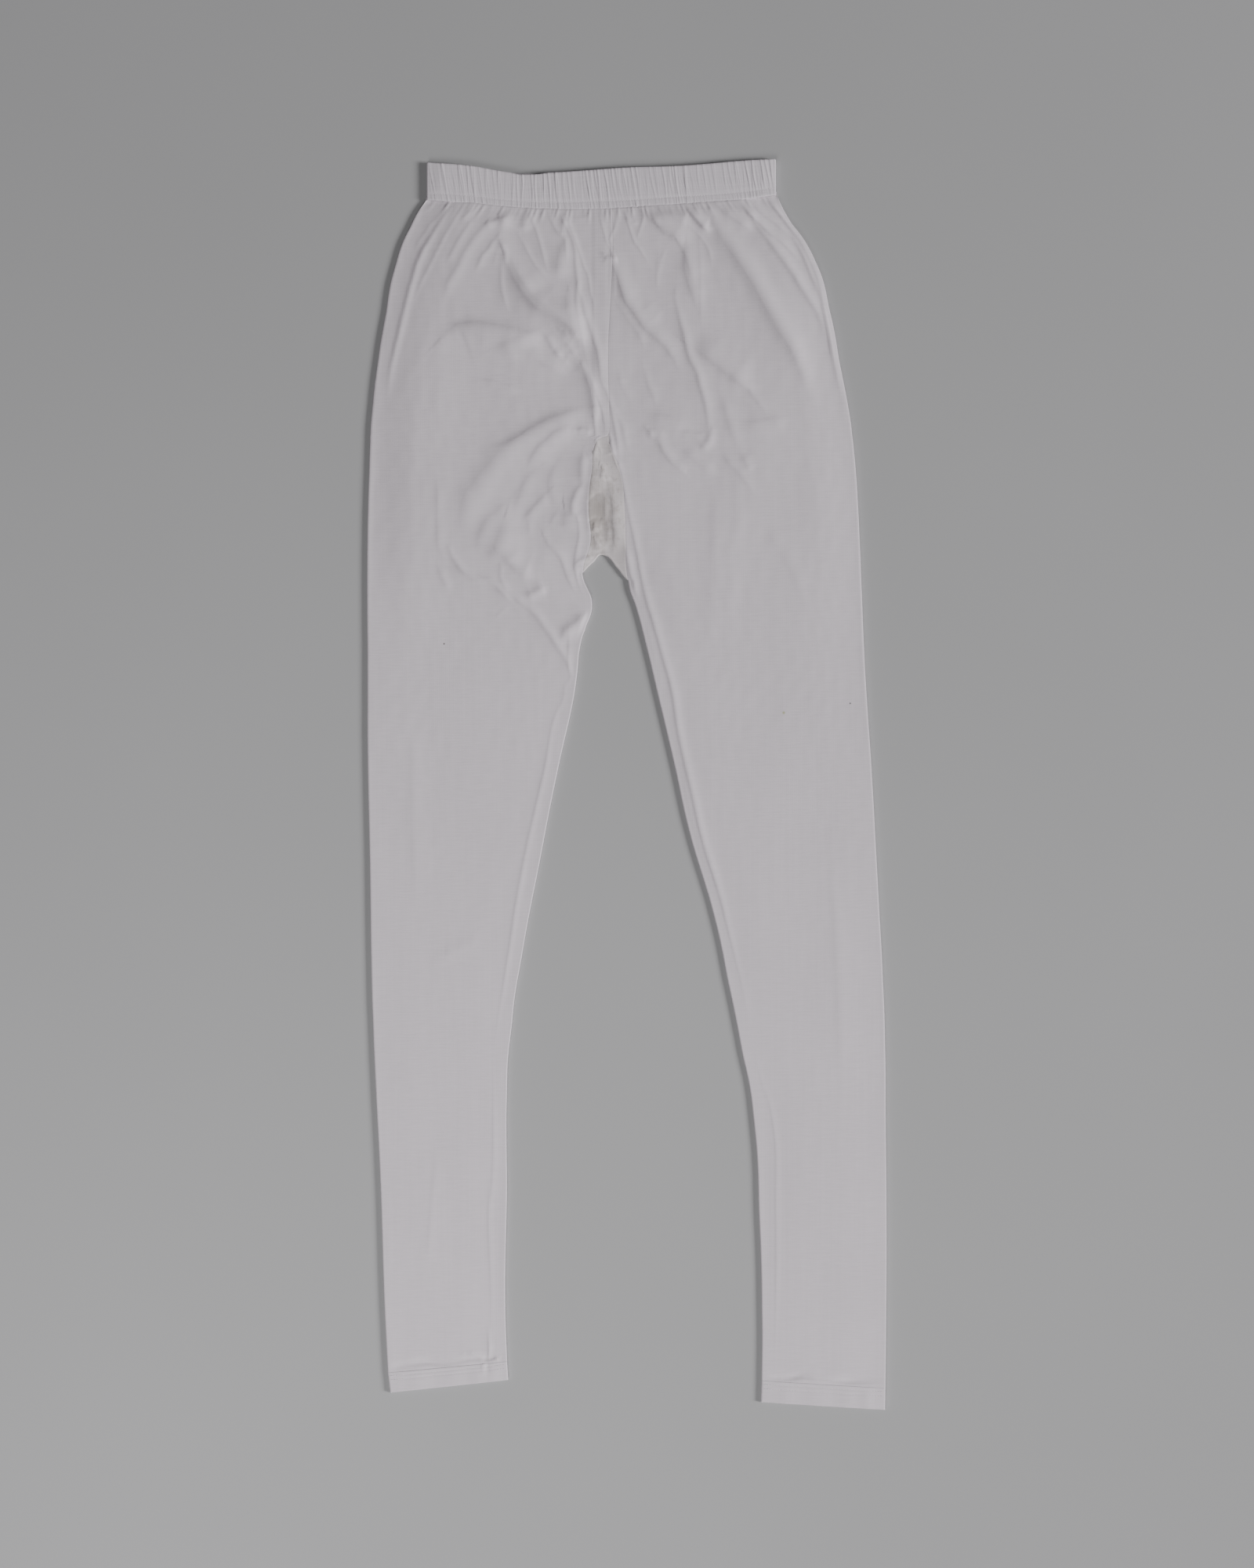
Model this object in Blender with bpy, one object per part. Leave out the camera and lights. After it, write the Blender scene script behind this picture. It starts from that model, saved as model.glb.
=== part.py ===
"""Leggings laid flat on their back: waist towards +Y, front up, underside on z = 0.

Two one-piece legs of jersey, an elasticated waistband, a crotch gusset and two turned hems.
Every piece is a cloth wall made by Solidify on a skin of sections. Sizes are in millimetres
until mesh_object() turns them to metres.
"""

import math
from collections import namedtuple

import bmesh
import bpy
import numpy as np

# Cloth and how it lies
CLOTH_WALL = 1.0
HEM_WALL = 1.8
BAND_WALL = 1.5
SEAM_GAP = 0.3
LOFT = 2.7
HEM_LOFT = 4.2
BAND_LOFT = 4.6
BODY_PUFF = 3.0
LOWEST_LOFT = 2.5
EDGE_FADE = 14.0

# How finely the skins are divided
ROWS_BODY = 23
ROWS_PER_GUSSET_STATION = 2
ROWS_LEG = 13
FRONT_COLUMNS = 29
BACK_COLUMNS = 10
FOLD_ANGLES = (-45.0, 0.0, 45.0)
GUSSET_COLUMNS = 7
GATHERS_ACROSS_BAND = 50
BAND_BACK_COLUMNS = 25

# Gathers
BAND_GATHER_RISE = 1.2
BAND_GATHER_LEAN = 5.0
BAND_STRAIGHT_X = -88.0
BODY_GATHER_RISE = 2.6
BODY_GATHER_REACH = 58.0
GOLDEN = 0.618034

# The waistband from its left end to its right end, as seen from the front
BandStation = namedtuple("BandStation", "x front_top back_top seam")
BAND = (
    BandStation(-168.6, 523.6, 524.2, 492.4),
    BandStation(-131.8, 520.9, 521.2, 489.4),
    BandStation(-98.8, 514.9, 517.2, 486.4),
    BandStation(-65.8, 514.7, 516.6, 484.4),
    BandStation(-32.8, 517.1, 517.9, 484.4),
    BandStation(0.2, 519.4, 519.6, 485.4),
    BandStation(33.2, 520.4, 520.6, 487.9),
    BandStation(66.2, 522.4, 522.6, 489.9),
    BandStation(99.2, 525.2, 525.4, 492.6),
    BandStation(125.6, 526.4, 526.9, 496.8),
)

# Rows of the band's skin: how far down the band, and how much of the loft and of the gathers is there
BandRow = namedtuple("BandRow", "down loft gather")
BAND_ROWS = (
    BandRow(0.0, 0.86, 0.55),
    BandRow(0.08, 1.0, 0.9),
    BandRow(0.5, 1.04, 1.0),
    BandRow(0.83, 0.9, 0.6),
    BandRow(1.0, 0.94, 0.9),
)

# One station is one section across a leg, from its outer fold to its inner edge
Station = namedtuple("Station", "outer_x outer_y inner_x inner_y")
Leg = namedtuple("Leg", "name outward body gusset leg hem")

# The leg on the left of the view, which is the wearer's right
RIGHT_LEG = Leg(
    name="leg_right",
    outward=-1,
    body=(
        Station(-169.4, 491.7, -12.6, 484.0),
        Station(-181.9, 471.2, -12.0, 462.5),
        Station(-195.5, 436.3, -12.6, 433.0),
        Station(-203.2, 396.7, -14.5, 395.0),
        Station(-209.8, 357.0, -15.8, 357.0),
        Station(-214.3, 319.0, -14.9, 319.0),
        Station(-216.2, 295.7, -15.2, 295.7),
    ),
    gusset=(
        Station(-216.2, 295.7, -15.2, 295.7),
        Station(-216.4, 288.5, -25.5, 289.0),
        Station(-217.2, 264.7, -29.5, 264.0),
        Station(-218.2, 233.0, -32.4, 232.0),
        Station(-218.7, 206.0, -30.8, 204.0),
        Station(-218.9, 180.5, -37.4, 178.2),
    ),
    leg=(
        Station(-218.9, 180.5, -37.4, 178.2),
        Station(-218.9, 155.8, -29.5, 155.0),
        Station(-218.8, 132.7, -34.7, 132.7),
        Station(-218.6, 112.9, -40.0, 112.9),
        Station(-218.6, 73.3, -44.8, 73.3),
        Station(-218.3, 13.9, -57.9, 13.9),
        Station(-216.6, -65.3, -73.5, -65.3),
        Station(-215.5, -144.5, -88.5, -144.5),
        Station(-213.8, -203.9, -97.1, -203.9),
        Station(-211.2, -263.3, -101.2, -263.3),
        Station(-207.4, -342.5, -101.1, -342.5),
        Station(-204.9, -421.7, -102.6, -421.0),
        Station(-201.4, -495.0, -101.0, -485.5),
    ),
    hem=(
        Station(-201.3, -495.3, -101.0, -485.8),
        Station(-199.4, -512.2, -100.0, -501.6),
    ),
)

# The leg on the right of the view, which is the wearer's left
LEFT_LEG = Leg(
    name="leg_left",
    outward=1,
    body=(
        Station(126.4, 496.0, -12.6, 484.0),
        Station(137.5, 475.0, -12.0, 462.5),
        Station(158.0, 443.5, -12.6, 433.0),
        Station(171.0, 400.0, -14.5, 395.0),
        Station(179.2, 357.0, -15.8, 357.0),
        Station(186.6, 319.0, -14.9, 319.0),
        Station(189.9, 295.7, -15.2, 295.7),
    ),
    gusset=(
        Station(189.9, 295.7, -15.2, 295.7),
        Station(191.6, 280.0, -11.9, 279.0),
        Station(193.1, 264.0, -5.4, 263.0),
        Station(194.9, 236.0, -1.8, 234.0),
        Station(196.3, 206.0, -0.6, 204.0),
        Station(197.6, 174.0, 1.2, 172.0),
    ),
    leg=(
        Station(197.6, 174.0, 1.2, 172.0),
        Station(198.6, 150.0, 7.8, 150.0),
        Station(199.8, 119.5, 15.9, 119.5),
        Station(202.3, 73.3, 26.9, 73.3),
        Station(206.3, 13.9, 40.9, 13.9),
        Station(209.6, -45.5, 54.4, -45.5),
        Station(212.8, -104.9, 72.2, -104.9),
        Station(215.9, -164.3, 85.1, -164.3),
        Station(217.8, -223.7, 97.0, -223.7),
        Station(218.2, -283.1, 107.2, -283.1),
        Station(218.9, -362.3, 111.6, -362.3),
        Station(218.7, -440.0, 113.9, -440.0),
        Station(218.0, -508.0, 113.8, -501.7),
    ),
    hem=(
        Station(218.0, -508.3, 113.8, -502.0),
        Station(217.7, -526.9, 113.3, -520.3),
    ),
)

# The gusset's folded edge under the crotch, from its left corner to its right corner
CROTCH_EDGE = (
    (-36.4, 179.5),
    (-28.0, 187.8),
    (-19.2, 193.4),
    (-9.0, 183.8),
    (-3.8, 177.2),
    (0.3, 172.6),
)

# Folds of the front: a curve through three points, its half width, and its rise or fall
Fold = namedtuple("Fold", "start middle end width rise")
FOLDS = (
    # From the waistband out over the hip on the left
    Fold((-146.3, 484.4), (-183.3, 404.6), (-199.1, 318.1), 6.0, 2.6),
    Fold((-119.2, 482.5), (-135.0, 463.3), (-157.5, 420.4), 5.0, 2.4),
    Fold((-104.7, 448.0), (-88.9, 415.8), (-56.5, 391.4), 7.0, -2.2),
    Fold((-100.1, 462.7), (-71.1, 409.2), (-38.7, 368.9), 7.0, 3.4),
    Fold((-82.3, 484.4), (-69.7, 442.9), (-65.1, 424.0), 4.5, -2.0),
    Fold((-67.7, 375.5), (-55.2, 361.0), (-42.0, 348.5), 6.0, 2.4),
    # Slanting folds that pull from the thigh towards the gusset on the left
    Fold((-98.1, 293.7), (-67.8, 310.2), (-45.0, 316.0), 7.0, -2.4),
    Fold((-112.0, 272.0), (-72.0, 296.0), (-42.0, 304.0), 7.0, 3.2),
    Fold((-141.0, 237.6), (-121.2, 262.7), (-100.0, 282.0), 6.5, -2.0),
    Fold((-136.0, 214.0), (-113.0, 248.0), (-88.0, 268.0), 7.0, 2.6),
    Fold((-127.8, 202.6), (-107.4, 233.6), (-90.0, 246.0), 6.0, -2.0),
    Fold((-67.1, 204.6), (-51.9, 178.2), (-42.0, 159.7), 6.0, -2.4),
    Fold((-56.0, 222.0), (-44.0, 190.0), (-35.0, 162.0), 5.5, 3.0),
    Fold((-37.0, 258.0), (-44.0, 226.4), (-43.0, 190.0), 5.0, -2.6),
    Fold((-150.0, 190.0), (-103.4, 161.7), (-53.0, 104.0), 7.5, 3.4),
    # Pleats beside the centre-front seam
    Fold((-57.8, 485.8), (-39.4, 382.1), (-27.8, 312.0), 5.0, -2.6),
    Fold((-46.0, 470.0), (-30.1, 388.1), (-17.5, 313.5), 4.5, 3.6),
    Fold((-20.0, 452.0), (-14.3, 444.0), (-9.0, 436.0), 6.0, 3.0),
    Fold((-11.6, 438.2), (13.4, 386.1), (50.0, 338.0), 6.0, -2.6),
    Fold((-4.0, 444.0), (21.0, 393.0), (58.0, 348.0), 6.0, 2.8),
    # From the waistband out over the hip on the right
    Fold((-1.1, 482.0), (6.2, 460.0), (16.7, 438.0), 5.0, 3.0),
    Fold((14.1, 483.0), (24.7, 469.9), (40.5, 455.0), 5.5, -2.8),
    Fold((43.1, 412.0), (56.3, 348.5), (67.6, 288.0), 6.5, -1.8),
    Fold((52.0, 414.0), (65.0, 350.0), (77.0, 292.0), 7.0, 2.2),
    Fold((72.8, 476.5), (114.4, 402.6), (152.7, 326.0), 6.5, -2.6),
    Fold((82.0, 476.0), (124.0, 410.0), (163.0, 334.0), 7.0, 3.2),
    Fold((99.9, 485.8), (130.2, 460.0), (159.3, 415.8), 6.0, 2.4),
    Fold((16.7, 297.7), (31.9, 278.5), (54.0, 256.0), 6.0, -1.8),
    Fold((26.0, 304.0), (41.0, 285.0), (63.0, 262.0), 6.5, 2.0),
    Fold((83.0, 266.0), (112.0, 222.0), (139.0, 176.0), 8.0, 1.4),
    # The gusset and the rolled inseams
    Fold((-13.6, 262.0), (-6.4, 221.8), (-10.7, 193.4), 5.0, 2.6),
    Fold((-30.0, 250.0), (-21.0, 222.0), (-27.0, 198.0), 5.0, 1.6),
    Fold((-47.0, 130.0), (-57.0, 50.0), (-82.0, -50.0), 6.0, 1.0),
    Fold((24.0, 119.0), (56.0, -10.0), (92.0, -150.0), 6.0, 1.0),
    Fold((-171.0, -149.0), (-146.0, -137.0), (-117.0, -124.0), 7.0, 1.0),
)

# Colours as linear red, green and blue
JERSEY_COLOUR = (0.80, 0.78, 0.80)
BAND_COLOUR = (0.78, 0.76, 0.78)
GUSSET_COLOUR = (0.79, 0.76, 0.72)
JERSEY_ROUGHNESS = 0.85

MM = 0.001


def clear_scene():
    for obj in list(bpy.data.objects):
        bpy.data.objects.remove(obj)


def cloth_material(name, colour):
    material = bpy.data.materials.new(name)
    material.use_nodes = True
    shader = material.node_tree.nodes["Principled BSDF"]
    shader.inputs["Base Color"].default_value = (*colour, 1.0)
    shader.inputs["Roughness"].default_value = JERSEY_ROUGHNESS
    shader.inputs["Metallic"].default_value = 0.0
    return material


def uneven(index, turn=0.0):
    """A value from -1 to 1 that differs from one gather to the next, the same at each run."""
    return 2.0 * ((index * GOLDEN + turn) % 1.0) - 1.0


def spline(table, at):
    """The row at place `at` (0 = first row, 1 = second ...) of a smooth curve through a table's rows."""
    rows = np.array(table, dtype=float)
    first = int(min(max(math.floor(at), 0), len(rows) - 2))
    part = at - first
    slopes = np.gradient(rows, axis=0)
    start = rows[first] + part * slopes[first]
    end = rows[first + 1] + (part - 1.0) * slopes[first + 1]
    blend = part * part * (3.0 - 2.0 * part)
    return start * (1.0 - blend) + end * blend


def band_at(x):
    """The waistband's front top, back top and seam at one place across it."""
    stations = [station.x for station in BAND]
    return spline(BAND, np.interp(x, stations, np.arange(len(BAND))))[1:]


def fade(distance, reach):
    """0 at no distance, 1 from `reach` on, smooth between."""
    part = np.clip(distance / reach, 0.0, 1.0)
    return part * part * (3.0 - 2.0 * part)


def fold_curve(fold, points=13):
    """Points along a fold, on the parabola through its start, middle and end."""
    start, middle, end = (np.array(point) for point in (fold.start, fold.middle, fold.end))
    control = 2.0 * middle - 0.5 * (start + end)
    along = np.linspace(0.0, 1.0, points)[:, None]
    return (1 - along) ** 2 * start + 2 * along * (1 - along) * control + along**2 * end


FOLD_CURVES = [fold_curve(fold) for fold in FOLDS]


def folds_at(x, y):
    """The height that all folds together add at one point of the front."""
    height = 0.0
    for fold, curve in zip(FOLDS, FOLD_CURVES):
        away = np.hypot(curve[:, 0] - x, curve[:, 1] - y)
        nearest = int(away.argmin())
        if away[nearest] > 3.0 * fold.width:
            continue
        along = nearest / (len(curve) - 1)
        swell = math.sin(math.pi * (0.12 + 0.76 * along))
        height += fold.rise * swell * math.exp(-((away[nearest] / fold.width) ** 2))
    return height


def front_height(x, y, from_outer, from_inner):
    """Height of the front's outer face. The last two are distances from folded edges of the cloth."""
    inside = fade(from_outer, EDGE_FADE) * fade(from_inner, EDGE_FADE)
    body = fade(y - 90.0, 160.0)
    return max(LOFT + inside * (BODY_PUFF * body + folds_at(x, y)), LOWEST_LOFT)


def mesh_object(name, rows, material, wall, closed_from=None, flip=False):
    """Object with a wall of cloth inside a skin whose rows run down the garment.

    Rows from `closed_from` on are rings. The others are open at both ends.
    """
    mesh = bpy.data.meshes.new(name)
    skin = bmesh.new()
    grid = [[skin.verts.new(np.array(point) * MM) for point in row] for row in rows]
    for index, (upper, lower) in enumerate(zip(grid, grid[1:])):
        ring = closed_from is not None and index >= closed_from
        across = len(upper) if ring else min(len(upper), len(lower)) - 1
        for column in range(across):
            after = (column + 1) % len(upper)
            corners = [upper[column], lower[column], lower[after], upper[after]]
            skin.faces.new(reversed(corners) if flip else corners)
    skin.to_mesh(mesh)
    skin.free()
    mesh.shade_smooth()
    mesh.materials.append(material)
    obj = bpy.data.objects.new(name, mesh)
    bpy.context.scene.collection.objects.link(obj)
    solidify = obj.modifiers.new("cloth wall", "SOLIDIFY")
    solidify.thickness = wall * MM
    solidify.offset = -1.0
    solidify.use_even_offset = True
    solidify.use_quality_normals = True
    return obj


def fold_points(edge, inward, height):
    """Points round a folded edge, from under the cloth to its top."""
    radius = height / 2.0
    points = []
    for angle in FOLD_ANGLES:
        turn = math.radians(angle)
        across = edge + inward * radius * (1.0 - math.cos(turn))
        points.append((across[0], across[1], radius * (1.0 + math.sin(turn))))
    return points


def front_places():
    """Where the front's columns lie from the outer fold (0) to the inner edge (1), closer at the centre."""
    even = np.linspace(0.0, 1.0, FRONT_COLUMNS)
    return 1.15 * even - 0.15 * even**2


def body_gather(column, place, down):
    """Height of the gathers below the waistband. Every second column is the top of one."""
    if column % 2 == 0 or down > BODY_GATHER_REACH * 1.5:
        return 0.0
    strength = 1.0 + 0.5 * uneven(column // 2)
    reach = BODY_GATHER_REACH * (1.0 + 0.5 * uneven(column // 2, 0.3))
    ends = fade(place, 0.08) * fade(1.0 - place, 0.05)
    return BODY_GATHER_RISE * strength * ends * (1.0 - fade(down, reach))


def leg_section(leg, station, down, open_inside, hem=False):
    """Points of one section: back from its inner edge, outer fold, front, and the inner fold if closed."""
    outer = np.array([station[0], station[1]])
    inner = np.array([station[2], station[3]])
    width = float(np.linalg.norm(inner - outer))
    inward = (inner - outer) / width
    edge_height = HEM_LOFT if hem else LOFT
    radius = edge_height / 2.0
    flat_start = outer + inward * radius
    flat_end = inner - inward * (SEAM_GAP / 2.0 if open_inside else radius)
    level = 1.0 - fade(down, 60.0)

    def follow_seam(x, y):
        """Near the waist the sections bend with the waistband's seam."""
        seam = band_at(x)[2] - SEAM_GAP
        line = np.interp(x, *sorted_ends(leg.body[0]))
        return y + level * (seam - line)

    points = []
    for place in np.linspace(1.0, 0.0, BACK_COLUMNS):
        x, y = flat_start + (flat_end - flat_start) * place
        points.append((x, follow_seam(x, y), 0.0))
    points += [(x, follow_seam(x, y), z) for x, y, z in fold_points(outer, inward, edge_height)]
    for column, place in enumerate(front_places()):
        x, y = flat_start + (flat_end - flat_start) * place
        point = (x, follow_seam(x, y))
        if hem:
            height = HEM_LOFT
        else:
            from_inner = EDGE_FADE if open_inside else (1.0 - place) * width
            height = front_height(point[0], point[1], place * width, from_inner)
            height += body_gather(column, place, down)
        points.append((point[0], point[1], height))
    if not open_inside:
        points += fold_points(inner, -inward, edge_height)[::-1]
    return points


def sorted_ends(station):
    """A section's two ends as rising x and matching y, for np.interp."""
    ends = sorted([(station.outer_x, station.outer_y), (station.inner_x, station.inner_y)])
    return [ends[0][0], ends[1][0]], [ends[0][1], ends[1][1]]


def gusset_rows():
    """Places along a leg's gusset stations: two rows to a station."""
    stations = len(RIGHT_LEG.gusset) - 1
    return np.linspace(0.0, stations, stations * ROWS_PER_GUSSET_STATION + 1)


def make_leg(leg, material):
    rows = []
    for part in np.linspace(0.0, 1.0, ROWS_BODY)[:-1]:
        station = spline(leg.body, part**1.15 * (len(leg.body) - 1))
        down = leg.body[0].outer_y - station[1]
        rows.append(leg_section(leg, station, down, open_inside=True))
    for at in gusset_rows()[:-1]:
        station = spline(leg.gusset, at)
        rows.append(leg_section(leg, station, leg.body[0].outer_y - station[1], open_inside=True))
    closed_from = len(rows)
    for at in np.linspace(0.0, len(leg.leg) - 1, ROWS_LEG + 1):
        station = spline(leg.leg, at)
        rows.append(leg_section(leg, station, leg.body[0].outer_y - station[1], open_inside=False))
    return mesh_object(leg.name, rows, material, CLOTH_WALL, closed_from, flip=leg.outward > 0)


def make_hem(leg, material):
    """The turned hem: doubled cloth that stands a little proud of the leg."""
    rows = []
    for down in (0.0, 0.12, 0.88, 1.0):
        station = np.array(leg.hem[0]) * (1.0 - down) + np.array(leg.hem[1]) * down
        rows.append(leg_section(leg, station, 900.0, open_inside=False, hem=True))
    name = leg.name.replace("leg", "hem")
    return mesh_object(name, rows, material, HEM_WALL, closed_from=0, flip=leg.outward > 0)


def edge_offset(path, distance):
    """A path moved sideways, to the left of its direction if distance is positive."""
    path = np.array(path, dtype=float)
    run = np.gradient(path, axis=0)
    run /= np.linalg.norm(run, axis=1)[:, None]
    return path + distance * np.stack([-run[:, 1], run[:, 0]], axis=1)


def make_gusset(material):
    """The diamond under the crotch, folded across its middle: front half, folded edge, back half."""
    places = gusset_rows()
    sides = [np.array([spline(leg.gusset, at)[2:] for at in places]) for leg in (RIGHT_LEG, LEFT_LEG)]
    left = edge_offset(sides[0], SEAM_GAP * 1.5)
    right = edge_offset(sides[1], -SEAM_GAP * 1.5)
    tip = 0.3
    left[0] += (left[1] - left[0]) * tip
    right[0] += (right[1] - right[0]) * tip
    across = np.linspace(0.0, 1.0, GUSSET_COLUMNS)
    edge = np.array([spline(CROTCH_EDGE, place * (len(CROTCH_EDGE) - 1)) for place in across])
    radius = LOFT / 2.0
    low = edge + np.array([0.0, radius])
    plan = []
    for index, down in enumerate(np.linspace(0.0, 1.0, len(places))):
        line = left[index] + (right[index] - left[index]) * across[:, None]
        last = left[-1] + (right[-1] - left[-1]) * across[:, None]
        plan.append(line + down**3 * (low - last))
    front = []
    for row in plan:
        down_to_edge = plan[-1][GUSSET_COLUMNS // 2][1]
        heights = [front_height(x, y, EDGE_FADE, max(y - down_to_edge, 0.0) + 4.0) for x, y in row]
        front.append([(x, y, z) for (x, y), z in zip(row, heights)])
    front[-1] = [(x, y, LOFT) for x, y in plan[-1]]
    rim = []
    for angle in FOLD_ANGLES[::-1]:
        turn = math.radians(angle)
        drop = radius * math.cos(turn)
        rim.append([(x, y - drop, radius * (1.0 + math.sin(turn))) for x, y in plan[-1]])
    back = [[(x, y, 0.0) for x, y in row] for row in plan[::-1]]
    return mesh_object("gusset", front + rim + back, material, CLOTH_WALL)


def band_point(x, height, down, back):
    """A point of the band. `back` is 0 on its front layer, 1 on its back, and between on its end folds."""
    front_top, back_top, seam = band_at(x)
    top = front_top + (back_top - front_top) * back
    return (x, top + (seam - top) * down, height)


def band_front(row, across, left, right):
    """One row of the front layer, with every second point raised as a gather that leans a little."""
    points = []
    for column, place in enumerate(across):
        ends = math.sqrt(fade(place, 0.12) * fade(1.0 - place, 0.12))
        x = left + (right - left) * place
        lean = BAND_GATHER_LEAN * ends * min(abs(x - BAND_STRAIGHT_X) / 60.0, 1.0)
        height = BAND_LOFT * row.loft
        if column % 2:
            strength = 1.0 + 0.45 * uneven(column // 2)
            height += BAND_GATHER_RISE * row.gather * strength * ends
        points.append(band_point(x + lean * (row.down - 0.5), height, row.down, 0.0))
    return points


def make_waistband(material):
    """A ring of doubled cloth over elastic, gathered across the front, flat where it rests."""
    radius = BAND_LOFT / 2.0
    ends = (BAND[0].x, BAND[-1].x)
    left = ends[0] + radius
    right = ends[1] - radius
    steps = 1.0 + 0.35 * uneven(np.arange(2 * GATHERS_ACROSS_BAND), 0.1)
    across = np.concatenate([[0.0], np.cumsum(steps)]) / steps.sum()
    rows = []
    for row in BAND_ROWS:
        front = band_front(row, across, left, right)
        even = np.linspace(right, left, BAND_BACK_COLUMNS)
        back = [band_point(x, 0.0, row.down, 1.0) for x in even]
        folds = []
        for end, inward in zip(ends, (1.0, -1.0)):
            rounded = fold_points(np.array([end, 0.0]), np.array([inward, 0.0]), BAND_LOFT * row.loft)
            folds.append([band_point(x, z, row.down, 0.5) for x, _, z in rounded])
        rows.append(front + folds[1][::-1] + back + folds[0])
    return mesh_object("waistband", rows, material, BAND_WALL, closed_from=0)


def build():
    clear_scene()
    jersey = cloth_material("jersey", JERSEY_COLOUR)
    band = cloth_material("band", BAND_COLOUR)
    gusset = cloth_material("gusset", GUSSET_COLOUR)
    make_waistband(band)
    for leg in (RIGHT_LEG, LEFT_LEG):
        make_leg(leg, jersey)
        make_hem(leg, jersey)
    make_gusset(gusset)


build()
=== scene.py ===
import math
from collections import namedtuple

import bpy
import numpy as np
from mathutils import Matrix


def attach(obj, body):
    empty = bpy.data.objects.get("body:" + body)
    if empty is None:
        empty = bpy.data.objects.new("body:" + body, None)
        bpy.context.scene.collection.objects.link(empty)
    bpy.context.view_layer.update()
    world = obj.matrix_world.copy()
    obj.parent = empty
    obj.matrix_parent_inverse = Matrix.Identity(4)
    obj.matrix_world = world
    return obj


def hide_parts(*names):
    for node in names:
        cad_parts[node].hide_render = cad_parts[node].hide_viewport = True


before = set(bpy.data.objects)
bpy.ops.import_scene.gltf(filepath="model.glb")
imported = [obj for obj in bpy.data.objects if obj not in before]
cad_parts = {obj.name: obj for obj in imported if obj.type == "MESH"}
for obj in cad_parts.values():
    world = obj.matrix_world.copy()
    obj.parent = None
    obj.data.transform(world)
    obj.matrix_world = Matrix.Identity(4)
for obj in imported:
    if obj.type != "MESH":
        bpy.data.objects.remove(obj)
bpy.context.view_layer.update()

# The room: a plain pale floor, a large soft light low on the right, and a small weak one past the hems
# on the left. The camera looks straight down, as it did for the photograph. Lengths here are in metres.
FLOOR_SIZE = 9.0
FLOOR_DROP = 0.0002
FLOOR_COLOUR = (0.46, 0.465, 0.47, 1.0)
VIEW_LENGTH = 1.32
LENS_MM = 50.0
SENSOR_MM = 36.0
VIEW_CENTRE = (0.0002, 0.0007)
CLOTH_LEVEL = 0.004
Light = namedtuple("Light", "name place size watts colour")
LIGHTS = (
    Light("soft light", (7.6, -1.0, 3.4), 2.5, 745.0, (1.0, 0.985, 0.99)),
    Light("ankle light", (-0.55, -0.95, 1.2), 0.9, 10.0, (1.0, 0.985, 0.99)),
)
ROOM_COLOUR = (1.0, 0.985, 1.0, 1.0)
ROOM_STRENGTH = 0.115


def new_material(name, colour, roughness):
    """A material with its Principled BSDF, the tree's nodes and links, and Object coordinates."""
    material = bpy.data.materials.new(name)
    material.use_nodes = True
    nodes, links = material.node_tree.nodes, material.node_tree.links
    shader = nodes["Principled BSDF"]
    shader.inputs["Base Color"].default_value = colour
    shader.inputs["Roughness"].default_value = roughness
    place = nodes.new("ShaderNodeTexCoord")
    return material, shader, nodes, links, place.outputs["Object"]


def add_noise(nodes, links, place, scale, detail=3.0):
    """Soft noise whose grain is one over `scale` metres along each axis."""
    mapping = nodes.new("ShaderNodeMapping")
    mapping.inputs["Scale"].default_value = scale
    links.new(place, mapping.inputs["Vector"])
    noise = nodes.new("ShaderNodeTexNoise")
    noise.inputs["Scale"].default_value = 1.0
    noise.inputs["Detail"].default_value = detail
    links.new(mapping.outputs["Vector"], noise.inputs["Vector"])
    return noise.outputs["Fac"]


def tint(nodes, links, colour, factor, darker, lighter):
    """Colour multiplied by a grey that runs from `darker` to `lighter` as the factor goes from 0.3 to 0.7."""
    spread = nodes.new("ShaderNodeMapRange")
    spread.inputs["From Min"].default_value = 0.3
    spread.inputs["From Max"].default_value = 0.7
    spread.inputs["To Min"].default_value = darker
    spread.inputs["To Max"].default_value = lighter
    links.new(factor, spread.inputs["Value"])
    scaled = nodes.new("ShaderNodeVectorMath")
    scaled.operation = "SCALE"
    links.new(colour, scaled.inputs[0])
    links.new(spread.outputs["Result"], scaled.inputs["Scale"])
    return scaled.outputs["Vector"]


def plain_colour(nodes, colour):
    """One colour, as the output of a node."""
    node = nodes.new("ShaderNodeRGB")
    node.outputs["Color"].default_value = colour
    return node.outputs["Color"]


floor_mesh = bpy.data.meshes.new("floor")
half_floor = FLOOR_SIZE / 2.0
floor_corners = [
    (side_x * half_floor, side_y * half_floor, -FLOOR_DROP)
    for side_x, side_y in ((-1, -1), (1, -1), (1, 1), (-1, 1))
]
floor_mesh.from_pydata(floor_corners, [], [(0, 1, 2, 3)])
floor = bpy.data.objects.new("floor", floor_mesh)
bpy.context.scene.collection.objects.link(floor)
floor_paint, shader, nodes, links, place = new_material("floor paint", FLOOR_COLOUR, 0.8)
mottle = add_noise(nodes, links, place, (3.0, 3.0, 3.0))
floor_tone = tint(nodes, links, plain_colour(nodes, FLOOR_COLOUR), mottle, 0.985, 1.015)
links.new(floor_tone, shader.inputs["Base Color"])
floor_mesh.materials.append(floor_paint)

for light in LIGHTS:
    lamp = bpy.data.lights.new(light.name, "AREA")
    lamp.shape = "DISK"
    lamp.size = light.size
    lamp.energy = light.watts
    lamp.color = light.colour
    stand = bpy.data.objects.new(light.name, lamp)
    stand.location = light.place
    away = stand.location.normalized()
    stand.rotation_euler = away.to_track_quat("Z", "Y").to_euler()
    stand.visible_camera = False
    bpy.context.scene.collection.objects.link(stand)

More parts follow.
